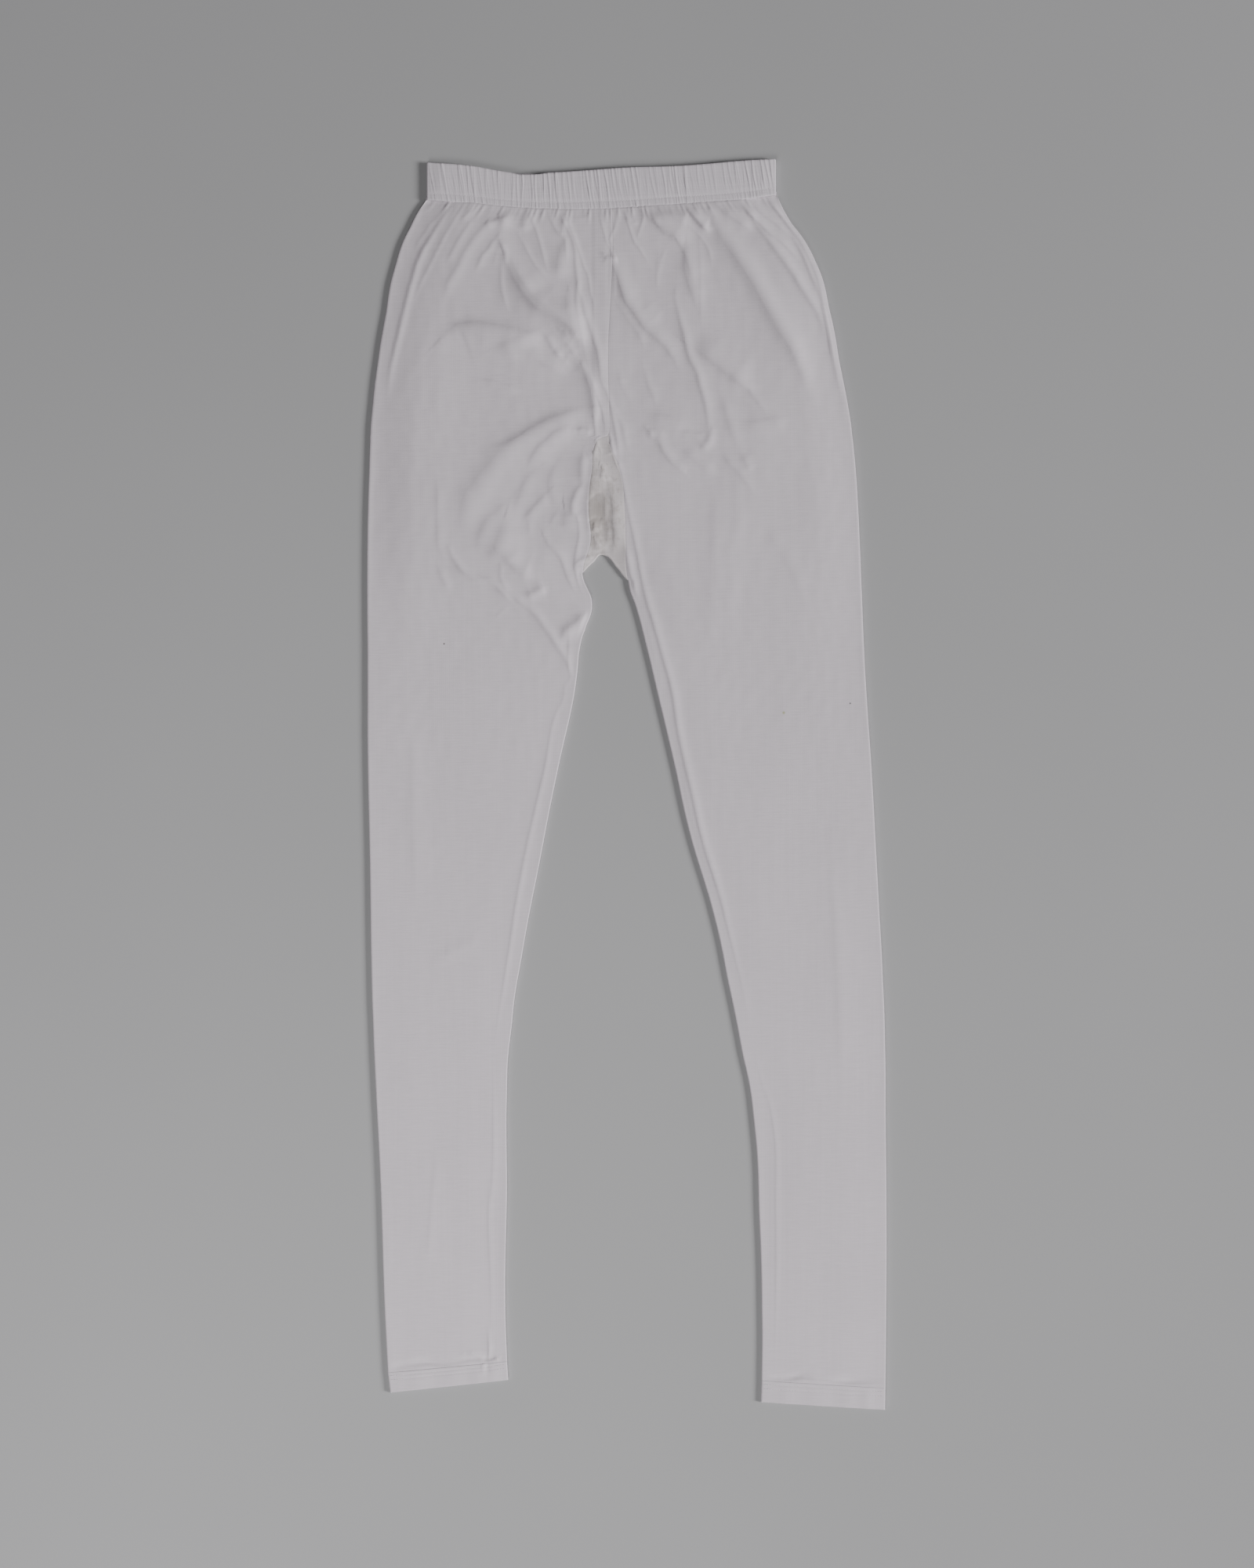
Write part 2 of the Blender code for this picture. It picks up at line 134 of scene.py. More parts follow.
room = bpy.data.worlds.new("room")
room.use_nodes = True
room.node_tree.nodes["Background"].inputs["Color"].default_value = ROOM_COLOUR
room.node_tree.nodes["Background"].inputs["Strength"].default_value = ROOM_STRENGTH
bpy.context.scene.world = room

camera_data = bpy.data.cameras.new("camera")
camera_data.lens = LENS_MM
camera_data.sensor_width = SENSOR_MM
camera = bpy.data.objects.new("camera", camera_data)
camera.location = (*VIEW_CENTRE, VIEW_LENGTH * LENS_MM / SENSOR_MM + CLOTH_LEVEL)
bpy.context.scene.collection.objects.link(camera)
bpy.context.scene.camera = camera

# The two legs: each is one panel of fine cotton and elastane jersey that wraps from the centre front
# round the outside to the centre back, folded flat along the outer edge, and sewn along the inseam.
# From here on the garment's lengths are in millimetres, and MM turns them to metres where they are used.
MM = 0.001
# How high the front's outer face lies: where it lies easy, how much more over the hips and thighs, and
# how much more along the middle of a leg, less towards the folded edges
LOFT = 2.7
BODY_PUFF = 2.2
BODY_PUFF_FROM = 90.0
BODY_PUFF_RUN = 160.0
LEG_CROWN = 0.6
PUFF_FADE = 40.0
# What piled-up folds level off towards, how near a folded edge they fade, and the lowest that they leave
# the front
FORM_LIMIT = 8.0
EDGE_FADE = 5.0
LOWEST = 1.9
# The highest that the back lifts off the floor, and the share of the small gathers that it has
HIGHEST_BACK_FOLD = 1.1
BACK_GATHER_SHARE = 0.5
# A folded edge is round, and reaches in by this share of half its height
EDGE_ROUND = 0.45
EDGE_ANGLES = (-60.0, -30.0, 0.0, 30.0, 60.0)
# How far the seams pull the cloth down, and over what width
SEAM_DIP = 0.12
SEAM_DIP_WIDTH = 0.8
WAIST_DIP = 0.5
WAIST_DIP_WIDTH = 6.0
WAIST_CREASE = 0.1
WAIST_CREASE_WIDTH = 0.9
# The share of a fold's height that the waist seam leaves, and how far below the seam the fold is whole
HELD_AT_SEAM = 0.15
HELD_REACH = 13.0
# The shape of a fold across its path: a steep side with a softer toe, and an easy side past its crest
FOLD_RELIEF = 1.85
FLANK_SHARPNESS = 1.5
FLANK_SPREAD = 1.2
TOE_SHARE = 0.3
TOE_SHIFT = 1.1
TOE_SPREAD = 3.0
LOBE_SPREAD = 1.3
CREST_SHIFT = 0.45
# Along its path a fold rises over the first share of its length and dies over the last, and it is
# narrower where it is low. Parts of the path that are about equally near are blended
FOLD_RISES_OVER = 0.3
FOLD_DIES_OVER = 0.35
FOLD_NARROWEST = 0.55
FOLD_WIDENING = 0.45
PATH_SOFTNESS = 0.6
# Long waves and fine ones over the whole cloth, and the share of them that the lower legs have
LONG_WAVES = 0.16
FINE_WAVES = 0.045
LOWER_LEG_SHARE = 0.45
LOWER_LEG_Y = -150.0
LOWER_LEG_RUN = 300.0
# Points across the front, closer together towards the inner edge, and across the back
LEG_SECTION_COLUMNS = 170
INNER_CROWDING = 0.35
LEG_BACK_COLUMNS = 24
ROW_SAMPLES = 400
# The golden ratio's fraction, which keeps what repeats from looking regular
GOLDEN = 0.618034

# One station is one section across a leg, from its outer fold to its inner edge
Station = namedtuple("Station", "outer_x outer_y inner_x inner_y")
# `outward` is which way along x the leg's outer fold lies
Leg = namedtuple("Leg", "name outward stations")
# The station from which the inner edge is closed. Above it the leg is sewn to the gusset or the other leg
CROTCH_STATION = 11

# The leg on the left of the view, which is the wearer's right
RIGHT_LEG = Leg(
    name="leg_right",
    outward=-1,
    stations=(
        Station(-169.4, 491.9, -12.6, 484.3),
        Station(-181.9, 471.2, -12.0, 462.5),
        Station(-195.5, 436.3, -12.6, 433.0),
        Station(-203.2, 396.7, -14.5, 395.0),
        Station(-209.8, 357.0, -15.8, 357.0),
        Station(-214.3, 319.0, -14.9, 319.0),
        Station(-216.2, 295.7, -15.2, 295.7),
        Station(-216.4, 288.5, -25.5, 289.0),
        Station(-217.2, 264.7, -29.5, 264.0),
        Station(-218.2, 233.0, -32.4, 232.0),
        Station(-218.7, 206.0, -30.8, 204.0),
        Station(-218.9, 180.5, -37.4, 178.2),
        Station(-218.9, 155.8, -29.5, 155.0),
        Station(-218.8, 132.7, -34.7, 132.7),
        Station(-218.6, 112.9, -40.0, 112.9),
        Station(-218.6, 73.3, -44.8, 73.3),
        Station(-218.3, 13.9, -57.9, 13.9),
        Station(-216.6, -65.3, -73.5, -65.3),
        Station(-215.5, -144.5, -88.5, -144.5),
        Station(-213.8, -203.9, -97.1, -203.9),
        Station(-211.2, -263.3, -101.2, -263.3),
        Station(-207.4, -342.5, -101.1, -342.5),
        Station(-204.9, -421.7, -102.6, -421.0),
        Station(-201.4, -495.2, -101.0, -485.7),
    ),
)

# The leg on the right of the view, which is the wearer's left
LEFT_LEG = Leg(
    name="leg_left",
    outward=1,
    stations=(
        Station(126.4, 496.2, -12.6, 484.3),
        Station(137.5, 475.0, -12.0, 462.5),
        Station(158.0, 443.5, -12.6, 433.0),
        Station(171.0, 400.0, -14.5, 395.0),
        Station(179.2, 357.0, -15.8, 357.0),
        Station(186.6, 319.0, -14.9, 319.0),
        Station(189.9, 295.7, -15.2, 295.7),
        Station(191.6, 280.0, -11.9, 279.0),
        Station(193.1, 264.0, -5.4, 263.0),
        Station(194.9, 236.0, -1.8, 234.0),
        Station(196.3, 206.0, -0.6, 204.0),
        Station(197.6, 174.0, 1.2, 172.0),
        Station(198.6, 150.0, 7.8, 150.0),
        Station(199.8, 119.5, 15.9, 119.5),
        Station(202.3, 73.3, 26.9, 73.3),
        Station(206.3, 13.9, 40.9, 13.9),
        Station(209.6, -45.5, 54.4, -45.5),
        Station(212.8, -104.9, 72.2, -104.9),
        Station(215.9, -164.3, 85.1, -164.3),
        Station(217.8, -223.7, 97.0, -223.7),
        Station(218.2, -283.1, 107.2, -283.1),
        Station(218.9, -362.3, 111.6, -362.3),
        Station(218.7, -440.0, 113.9, -440.0),
        Station(218.0, -508.2, 113.8, -501.9),
    ),
)

# Where the rows of a leg's mesh lie: how close they are at the start and at the end of each stretch
Stretch = namedtuple("Stretch", "first last step last_step")
STRETCHES = (
    Stretch(0, CROTCH_STATION, 1.2, 1.2),
    Stretch(CROTCH_STATION, 15, 1.2, 2.2),
    Stretch(15, 22.75, 2.2, 7.6),
    Stretch(22.75, 23, 1.3, 1.3),
)

# The seam between the waistband and the legs
WaistSeam = namedtuple("WaistSeam", "x y")
WAIST_SEAM = (
    WaistSeam(-168.6, 492.4),
    WaistSeam(-131.8, 489.4),
    WaistSeam(-98.8, 486.4),
    WaistSeam(-65.8, 484.4),
    WaistSeam(-32.8, 484.4),
    WaistSeam(0.2, 485.4),
    WaistSeam(33.2, 487.9),
    WaistSeam(66.2, 489.9),
    WaistSeam(99.2, 492.6),
    WaistSeam(125.6, 496.8),
)

# Folds. `path` runs along the middle of the side that turns away from the light, which is `width`
# across. From there the cloth rises, as steeply as `steep`, to a crest, and eases off over `lobe`.
# The crest is on the left hand of someone who walks along the path, or on the right hand where `lobe`
# is below zero. Where `steep` is below zero it is a trough. `head` is how strong it is at its start.
Fold = namedtuple("Fold", "width lobe steep head path")
FOLDS = (
    # Out over the hip from the waistband, left of the view
    Fold(1.2, 2.0, 0.12, 0.5, ((-163, 490), (-169, 487), (-173, 482))),
    Fold(1.5, 2.0, 0.09, 0.8, ((-160, 478), (-166, 472), (-170, 466), (-175, 459), (-178, 452), (-180, 445))),
    Fold(2.4, 3.2, 0.26, 0.4, (
        (-149, 487), (-159, 472), (-167, 459), (-175, 445), (-181, 427), (-187, 405), (-192, 384),
        (-197, 363), (-201, 340), (-203, 312))),
    Fold(1.6, 2.0, 0.13, 0.6, ((-139, 485), (-149, 470), (-158, 454), (-167, 436), (-176, 418), (-183, 396))),
    Fold(1.5, 2.5, 0.16, 1.0, ((-130, 487), (-132, 483), (-137, 478), (-141, 473))),
    Fold(2.0, 3.5, 0.14, 0.8, ((-134, 471), (-142, 459), (-149, 446), (-155, 436))),
    Fold(3.5, 5.0, 0.13, 1.0, (
        (-120, 471), (-126, 464), (-133, 455), (-140, 443),
        (-143, 436), (-150, 425), (-153, 416), (-157, 400))),
    Fold(4.0, 6.0, 0.03, 0.0, ((-156, 430), (-160, 400), (-161, 360), (-160, 320), (-161, 270))),
    Fold(4.0, 7.0, 0.22, 0.8, ((-103, 484), (-105, 476), (-107, 467))),
    Fold(1.8, 4.0, 0.22, 0.8, ((-105, 477), (-111, 475), (-116, 473), (-122, 471))),
    Fold(4.0, 5.0, 0.16, 0.8, ((-86, 483), (-88, 474), (-87, 463))),
    Fold(5.0, 5.0, 0.09, 1.0, ((-108, 474), (-108, 465), (-107, 452), (-106, 444))),
    Fold(2.0, 3.5, 0.18, 0.5, (
        (-109, 462), (-114, 456), (-117, 451), (-120, 448),
        (-123, 444), (-125, 439), (-127, 434), (-128, 428))),
    Fold(1.5, 2.0, 0.07, 0.3, ((-110, 451), (-111, 446), (-112, 440), (-113, 435))),
    Fold(2.0, 2.5, 0.18, 0.3, ((-109, 459), (-105, 452), (-103, 448), (-103, 440), (-100, 434))),
    Fold(1.8, 2.5, 0.14, 0.3, (
        (-106, 442), (-106.5, 430), (-106, 418), (-104.5, 411), (-103, 405), (-101, 400), (-99, 394))),
    Fold(6.5, 11.0, 0.3, 0.3, (
        (-103, 445), (-98, 431), (-90, 416), (-78, 402), (-61, 392), (-45, 379), (-30, 362))),
    Fold(5.0, 12.0, 0.28, 0.2, ((-88, 415), (-79, 403), (-68, 395.5), (-56, 389), (-45, 379), (-36, 367))),
    Fold(2.4, 4.0, 0.16, 0.3, (
        (-97, 440), (-93, 431), (-85, 418), (-74, 406), (-62, 396), (-50, 386), (-38, 373))),
    Fold(2.5, 3.0, 0.25, 0.5, ((-56, 381), (-50.5, 377.5), (-46, 376.5), (-41, 372))),
    Fold(3.0, 3.5, 0.16, 0.2, ((-72, 381), (-70, 378), (-65, 371), (-62, 366), (-57, 360), (-51, 355))),
    Fold(2.5, 3.0, 0.12, 0.3, ((-53, 372), (-47, 364.5), (-43, 358))),
    Fold(2.5, -5.0, -0.12, 0.3, ((-58, 367), (-52, 361), (-48, 357), (-44, 353.5), (-40, 350), (-37, 346))),
    Fold(2.5, 5.0, 0.16, 0.3, ((-63, 366), (-60, 362), (-56, 358), (-52, 355.5), (-46, 352))),
    Fold(3.5, 7.0, 0.26, 0.3, ((-94, 361), (-80, 358), (-66, 351), (-48, 343))),
    Fold(6.0, -14.0, 0.22, 0.3, (
        (-155, 377), (-147, 384), (-134, 388.5), (-116, 387), (-92, 383), (-66, 379))),
    Fold(5.0, -14.0, 0.2, 0.2, ((-140, 388), (-126, 388.5), (-112, 386.5), (-92, 382), (-64, 374))),
    Fold(5.0, -12.0, 0.16, 0.2, ((-114, 366), (-104, 370), (-94, 374), (-80, 381), (-66, 386))),
    Fold(2.0, -5.0, 0.2, 0.4, ((-124, 341), (-112, 340), (-100, 336), (-84, 333))),
    Fold(1.6, 2.4, 0.17, 1.0, ((-85, 487), (-80, 474), (-75, 460), (-70, 441), (-65, 425))),
    Fold(1.6, 2.4, 0.15, 0.4, ((-92, 463), (-86, 452), (-79, 439), (-71, 429), (-61, 419))),
    Fold(6.0, 8.0, 0.15, 0.3, ((-54, 459), (-57, 447), (-59, 436), (-60, 422))),
    Fold(3.0, 2.0, 0.1, 1.0, ((-54, 472), (-55, 466), (-56, 460))),
    # Long pleats from the waistband to the crotch, left of the centre-front seam
    Fold(1.8, 2.5, 0.16, 1.0, (
        (-69, 487), (-65.5, 478), (-61, 468), (-56.5, 462),
        (-53, 459), (-52.5, 455), (-52, 450), (-51, 435))),
    Fold(2.3, 3.0, 0.19, 0.9, (
        (-59, 486), (-55, 476), (-49.5, 465), (-45, 452), (-44, 439), (-42.5, 425), (-42.5, 419), (-43, 406),
        (-41, 391.5), (-38.5, 378), (-36, 364), (-34.5, 354), (-33, 345))),
    Fold(1.3, 2.0, 0.15, 1.0, (
        (-57, 486), (-52, 479), (-47, 466.5), (-42, 453), (-38, 440), (-35.5, 433), (-33, 427), (-31, 413),
        (-29, 407), (-28.5, 399.5), (-28, 391), (-27.5, 379))),
    Fold(2.6, 4.0, 0.24, 0.3, (
        (-42, 421), (-41, 415), (-38.5, 408), (-35.5, 395),
        (-33, 389), (-31, 382), (-27.5, 371), (-25.5, 364),
        (-23.5, 350), (-22, 338), (-20, 332), (-16.5, 326))),
    Fold(6.0, 6.0, 0.22, 0.3, ((-50, 414), (-51, 403), (-49, 392), (-44, 379), (-37, 362))),
    Fold(4.5, 3.5, 0.25, 0.5, (
        (-38, 352), (-35.5, 345), (-33, 338), (-31, 331),
        (-29, 318), (-28.5, 312), (-28, 306), (-27.5, 298))),
    Fold(1.8, 2.5, 0.22, 0.8, ((-28, 308), (-27, 294), (-26.5, 289), (-27, 284), (-29, 275), (-29.5, 268))),
    Fold(3.6, 4.5, 0.17, 0.6, (
        (-28.5, 278), (-29, 272), (-30, 263), (-32, 249), (-34, 236), (-34, 228), (-33.5, 220), (-32, 204))),
    Fold(1.2, -1.5, 0.15, 0.5, ((-33, 279), (-31, 277), (-29, 275))),
    Fold(1.5, 4.5, 0.26, 0.3, (
        (-33, 353), (-31, 345), (-29, 338), (-27, 331), (-24.5, 324), (-22.5, 319), (-21, 313), (-20, 307),
        (-19, 301), (-18.5, 289))),
    Fold(1.2, 1.2, 0.12, 0.2, ((-34, 350), (-30.5, 340), (-29, 333), (-27, 325), (-25, 317))),
    Fold(1.8, 3.0, 0.21, 0.6, (
        (-20, 335), (-17, 329), (-15, 322), (-13.5, 316),
        (-12.5, 310), (-10.5, 299), (-8.5, 286), (-7.2, 274),
        (-6, 262))),
    Fold(1.8, 2.5, 0.21, 0.4, ((-14, 287), (-12, 278), (-10.5, 272), (-8.5, 267), (-6, 261))),
    Fold(1.2, -1.5, 0.2, 0.5, (
        (-19, 297), (-17, 296.5), (-14.5, 295.5), (-13, 293), (-12.3, 289), (-12, 284))),
    Fold(3.0, 3.0, 0.12, 1.0, ((-14, 285), (-14, 281), (-13, 277))),
    Fold(1.2, 1.5, 0.16, 0.5, ((-26.5, 291), (-25, 286), (-23, 282), (-21, 276))),
    Fold(1.2, 1.5, 0.15, 0.5, ((-26, 275), (-24, 272), (-20, 270))),
    # Round the centre-front seam
    Fold(1.5, -2.5, 0.18, 0.4, ((-46, 477.5), (-41, 477.5), (-36.5, 478), (-32, 480.5), (-27, 482))),
    Fold(1.3, 2.0, 0.14, 1.0, ((-24, 484), (-22, 473.5), (-18.5, 460), (-17, 455), (-15, 450.5), (-16, 446))),
    Fold(1.3, 2.0, 0.14, 1.0, (
        (-10, 484), (-10, 472), (-12, 466.5), (-14, 461), (-14.5, 457), (-11, 452), (-8, 449), (-5, 445))),
    Fold(2.0, -4.0, 0.3, 0.6, ((-17, 446), (-13, 444), (-8, 445))),
    Fold(1.2, 1.5, 0.09, 0.3, ((-11, 442), (-11, 430), (-11, 420), (-11, 403))),
    Fold(4.0, 8.0, 0.34, 0.4, (
        (-13, 443), (-12, 437), (-9, 429), (-6.5, 420), (-4, 412),
        (-1, 405), (3, 399.5), (9.5, 390), (14, 384),
        (19.5, 379), (29.5, 370), (36.5, 361), (41, 353), (45, 341))),
    Fold(3.0, 4.0, 0.1, 0.3, ((-9, 405), (-3, 396), (2.5, 388), (8, 380), (12, 372), (17, 361))),
    Fold(3.0, 4.0, 0.07, 0.2, ((-8, 350), (-7, 345), (-6, 338), (-3, 331), (0, 326), (4, 320))),
    Fold(3.0, 3.0, 0.1, 0.6, ((-10, 314), (-7.5, 307), (-5, 303), (-3.5, 297), (-2.5, 290), (2, 277))),
    # Out over the hip from the waistband, right of the view
    Fold(1.4, 2.2, 0.18, 0.8, (
        (-2, 484), (-1, 477), (1.5, 469), (3.5, 462.5), (6, 456), (9, 452), (13, 446), (17, 440), (20, 435))),
    Fold(1.3, -2.0, 0.25, 0.7, ((0, 480), (4.5, 474), (8, 473.5), (11, 472))),
    Fold(1.2, -2.0, 0.16, 0.8, ((9, 463), (12, 472.5), (13.5, 478), (15, 485))),
    Fold(4.0, 14.0, 0.36, 0.7, ((13, 482), (20, 475.5), (29, 468), (38, 461), (44, 454), (48, 447))),
    Fold(1.6, 3.0, 0.18, 0.4, ((19, 482), (23, 474), (29, 466), (36, 461.5), (43, 460))),
    Fold(3.0, 10.0, 0.15, 0.4, ((43, 456), (47, 449), (50, 441), (53, 430), (55, 420))),
    Fold(4.0, 9.0, 0.18, 0.4, ((49, 453), (48, 441), (50, 426), (56, 408), (60, 396))),
    Fold(1.5, 2.0, 0.08, 0.3, ((33, 452), (29.5, 445), (27.5, 437.5), (27, 426))),
    Fold(1.5, 2.0, 0.08, 0.3, ((26, 446), (25, 432), (25, 423), (26, 414))),
    Fold(3.0, 4.5, 0.25, 0.3, (
        (40, 414), (40, 408.5), (42, 399.5), (44.5, 388), (47.5, 376), (49, 369), (51, 361), (54, 354),
        (58, 346), (60.5, 336), (63.5, 326), (66, 315), (67.5, 303), (68.5, 291), (66, 281))),
    Fold(4.0, 4.0, 0.17, 0.6, ((70, 297), (67, 290), (63, 285), (59, 282))),
    Fold(1.2, 3.0, 0.1, 0.8, ((60.5, 458), (61, 440), (61.5, 420), (61.5, 391.5), (64, 385), (68, 379))),
    Fold(2.4, 5.0, 0.62, 0.9, (
        (48, 487), (53, 480.5), (59, 473.5), (62, 470.5), (64.5, 468), (69, 466.5), (75, 468))),
    Fold(1.6, 2.5, 0.35, 0.9, ((61, 487), (65.5, 483), (69, 481.5), (71, 478))),
    Fold(3.0, 9.0, 0.24, 0.8, ((31, 481), (38.5, 477), (44, 473.5), (49, 471), (54, 470))),
    Fold(1.4, 2.0, 0.13, 0.6, (
        (52, 470), (56.5, 465), (61, 461), (64.5, 456), (67, 452), (69, 446.5), (72, 432))),
    Fold(7.0, 9.0, 0.3, 0.3, (
        (68, 486), (71, 476), (76.5, 464), (87, 448), (92.5, 440), (98, 432), (103, 424), (108.5, 415),
        (113, 406.5), (118, 397), (128.5, 379), (134, 371), (138, 363), (142, 355), (150, 333), (154, 310))),
    Fold(3.0, 5.0, 0.28, 0.7, ((77, 486), (82, 481), (93, 473), (100.5, 468), (106, 462))),
    Fold(1.3, 2.5, 0.28, 0.9, ((90, 489), (92.5, 485), (102, 480), (106, 476), (109, 469))),
    Fold(2.0, 4.0, 0.42, 1.0, (
        (95, 490), (97, 487), (104, 478.5), (112, 471), (120, 463),
        (127, 458), (133, 453), (140, 446), (148, 436))),
    Fold(2.0, 3.0, 0.28, 0.9, ((104, 491), (106, 488), (114, 480), (123, 473.5), (131, 466.5), (140, 459))),
    Fold(1.3, 2.5, 0.35, 0.5, (
        (140, 459), (142, 456), (146, 449), (150, 441), (154, 431), (158, 421), (164, 407))),
    Fold(3.5, 5.0, 0.34, 0.3, (
        (103, 478), (110, 468), (117, 459), (123, 451), (137, 432), (142, 424), (147, 416), (157, 401),
        (161, 393), (164, 384), (167, 371))),
    Fold(1.6, 3.5, 0.5, 1.0, (
        (119, 492), (121.5, 488), (127.5, 481), (133, 474.5), (139.5, 466.5), (145, 460), (150, 450.5),
        (154, 442.5), (160, 428), (163.5, 413), (166, 398.5), (168.5, 387), (171, 373), (175, 353),
        (179.5, 332), (182, 321), (184, 298))),
    Fold(5.0, 14.0, 0.3, 0.3, ((50, 371), (60, 364), (70, 356), (80, 348), (92, 339), (108, 326))),
    Fold(2.5, 5.0, 0.14, 0.2, ((80, 340), (97, 335), (106, 326), (120, 307))),
    Fold(6.0, 6.0, 0.06, 0.3, ((11, 405), (18, 396), (28, 386))),
    Fold(3.0, 4.0, 0.1, 0.2, ((13, 353), (15, 345), (17, 337), (20, 330), (23, 322), (26, 314))),
    Fold(5.0, 7.0, 0.1, 0.2, ((77, 330), (81, 318), (84, 308), (87, 298), (90, 290), (96, 278))),
    Fold(3.0, 5.0, 0.12, 0.2, ((79, 281), (84, 272), (88, 268), (95, 260), (101, 252), (110, 242))),
    Fold(3.0, 5.0, 0.11, 0.2, ((96, 278), (100, 269), (103, 261))),
    Fold(1.6, 3.0, 0.16, 0.2, ((12, 303), (16, 299), (19, 295), (22, 289))),
    Fold(3.0, 5.0, 0.21, 0.5, (
        (20, 292), (26, 288), (28, 284), (30, 280), (33, 276), (36, 272), (40, 268), (44, 265), (54, 255))),
    Fold(3.5, -9.0, 0.16, 0.2, ((16, 313), (30, 311), (42, 308.5), (58, 302))),
    Fold(2.0, -5.0, 0.16, 0.3, ((15, 299), (22, 299), (27, 298), (36, 293))),
    Fold(2.0, -6.0, 0.14, 0.3, ((42, 297), (52, 297), (58, 296), (70, 297))),
    Fold(4.0, 6.0, 0.13, 0.2, ((43, 283), (53, 276), (64, 267), (80, 259))),
    Fold(4.0, -9.0, 0.12, 0.2, ((94, 306), (108, 306), (122, 308), (142, 310))),
    Fold(7.0, 9.0, 0.05, 0.0, ((72, 266), (73, 240), (72, 215), (70, 180), (68, 140), (66, 92))),
    Fold(6.0, 8.0, 0.05, 0.0, ((90, 266), (90, 240), (88, 215), (84, 170), (80, 105))),
    Fold(6.0, 9.0, 0.05, 0.0, ((112, 222), (126, 200), (139, 176), (150, 150))),
    # Pulled from the thigh towards the gusset, left of the view
    Fold(5.5, 14.0, 0.28, 0.2, (
        (-30, 318), (-42, 316), (-55, 312), (-68, 307), (-80, 300.5), (-92, 293), (-106, 287), (-124, 283))),
    Fold(8.0, 15.0, 0.13, 0.1, ((-90, 295), (-103, 285), (-117, 270), (-130, 253), (-139, 236), (-142, 205))),
    Fold(4.0, 10.0, 0.22, 0.3, ((-41, 301), (-54, 299.5), (-68, 290), (-79, 278), (-86, 262))),
    Fold(2.0, -3.0, 0.3, 0.5, ((-43, 299.5), (-38, 299.5), (-33, 298.5), (-27, 298))),
    Fold(4.0, 9.0, 0.1, 0.3, ((-74, 267), (-85, 257), (-90, 245), (-96, 229))),
    Fold(5.0, 12.0, 0.11, 0.2, ((-94, 246), (-109, 231), (-122, 217), (-128, 190))),
    Fold(3.0, 7.0, 0.17, 0.4, ((-66, 247), (-75, 238), (-90, 221))),
    Fold(6.0, 11.0, 0.12, 0.6, ((-53, 230), (-53, 222), (-54, 213))),
    Fold(2.0, 4.0, 0.09, 0.3, ((-58, 232), (-61, 227), (-64, 222), (-66, 216))),
    Fold(3.5, 8.0, 0.08, 0.2, ((-56, 275), (-62, 266), (-65, 258), (-66, 250), (-64, 243), (-59, 229))),
    Fold(4.5, 4.0, 0.15, 0.2, ((-37, 282), (-39, 272), (-39.5, 264), (-39.5, 257), (-40, 249))),
    Fold(3.2, 4.0, 0.21, 0.3, (
        (-36, 256), (-39, 252), (-43, 247), (-45, 242), (-46.5, 238),
        (-47, 233), (-46, 228), (-43.5, 225), (-41, 219))),
    Fold(1.8, 3.0, 0.18, 0.8, (
        (-42, 223), (-41, 217), (-41, 208), (-42.5, 200),
        (-44.5, 186), (-43.5, 179), (-41, 168), (-36, 156))),
    Fold(2.2, 5.0, 0.22, 0.6, (
        (-70, 209), (-68, 205), (-66, 201), (-62, 197), (-58, 192.5),
        (-55, 187), (-53, 181), (-48, 169), (-41, 157))),
    Fold(4.5, 8.0, 0.24, 0.3, ((-108, 195), (-99, 186), (-89, 177), (-74, 173))),
    Fold(9.0, 14.0, 0.15, 0.4, ((-104, 222), (-108, 210), (-112, 200), (-118, 186))),
    Fold(2.0, 3.0, 0.08, 0.3, ((-84, 224), (-83, 215), (-84, 208))),
    Fold(3.6, 3.5, 0.28, 0.3, (
        (-150, 198), (-144, 186), (-131, 174), (-114, 168), (-101, 156.5), (-89, 144))),
    Fold(2.8, 4.0, 0.3, 0.3, (
        (-107, 183), (-105, 169), (-93, 155), (-80, 145), (-70, 132), (-60, 117), (-50, 100), (-45, 82))),
    Fold(1.0, -1.2, 0.13, 0.3, ((-99, 150.5), (-104, 146), (-108, 142.5), (-112, 138))),
    Fold(1.8, 7.0, 0.1, 0.2, ((-161, 266), (-160, 240), (-160, 214), (-157, 194), (-148, 180))),
    Fold(3.0, 4.0, 0.1, 0.3, ((-160, 185), (-158, 178), (-155, 172), (-149, 160))),
    Fold(5.0, 6.0, 0.26, 0.4, (
        (-31, 148), (-34, 145), (-39, 142), (-43, 138), (-47, 135), (-51, 132), (-54, 128), (-58, 117))),
    Fold(4.0, -4.0, 0.2, 0.3, ((-88, 160), (-80, 162), (-74, 165.5), (-65, 168))),
    Fold(2.6, -3.0, 0.26, 0.4, ((-44, 183), (-43, 186), (-40, 189), (-36, 191), (-31, 192.5), (-25, 194))),
    Fold(1.4, -2.0, 0.16, 0.4, ((-43, 181), (-40, 184), (-37, 184), (-33, 183))),
    # Inseams, which have rolled to the front
    Fold(1.6, 3.0, 0.15, 0.3, ((-49.5, 132), (-49.5, 118), (-50, 109), (-50, 102), (-49, 95), (-47, 86))),
    Fold(2.0, 3.0, 0.15, 0.4, (
        (-47, 92), (-50.5, 86), (-53, 82), (-55, 70), (-63, 52),
        (-69, 18), (-77, -17), (-90, -77), (-98, -127),
        (-105, -172), (-110, -205), (-114, -240))),
    Fold(1.6, 3.0, 0.1, 0.0, (
        (-113, -225), (-113, -280), (-114, -335), (-117, -356), (-116, -400), (-115, -453), (-118, -486))),
    Fold(2.4, 4.0, 0.24, 0.6, (
        (-7, 268), (-5, 257), (-2.5, 246), (0, 234), (1.5, 226),
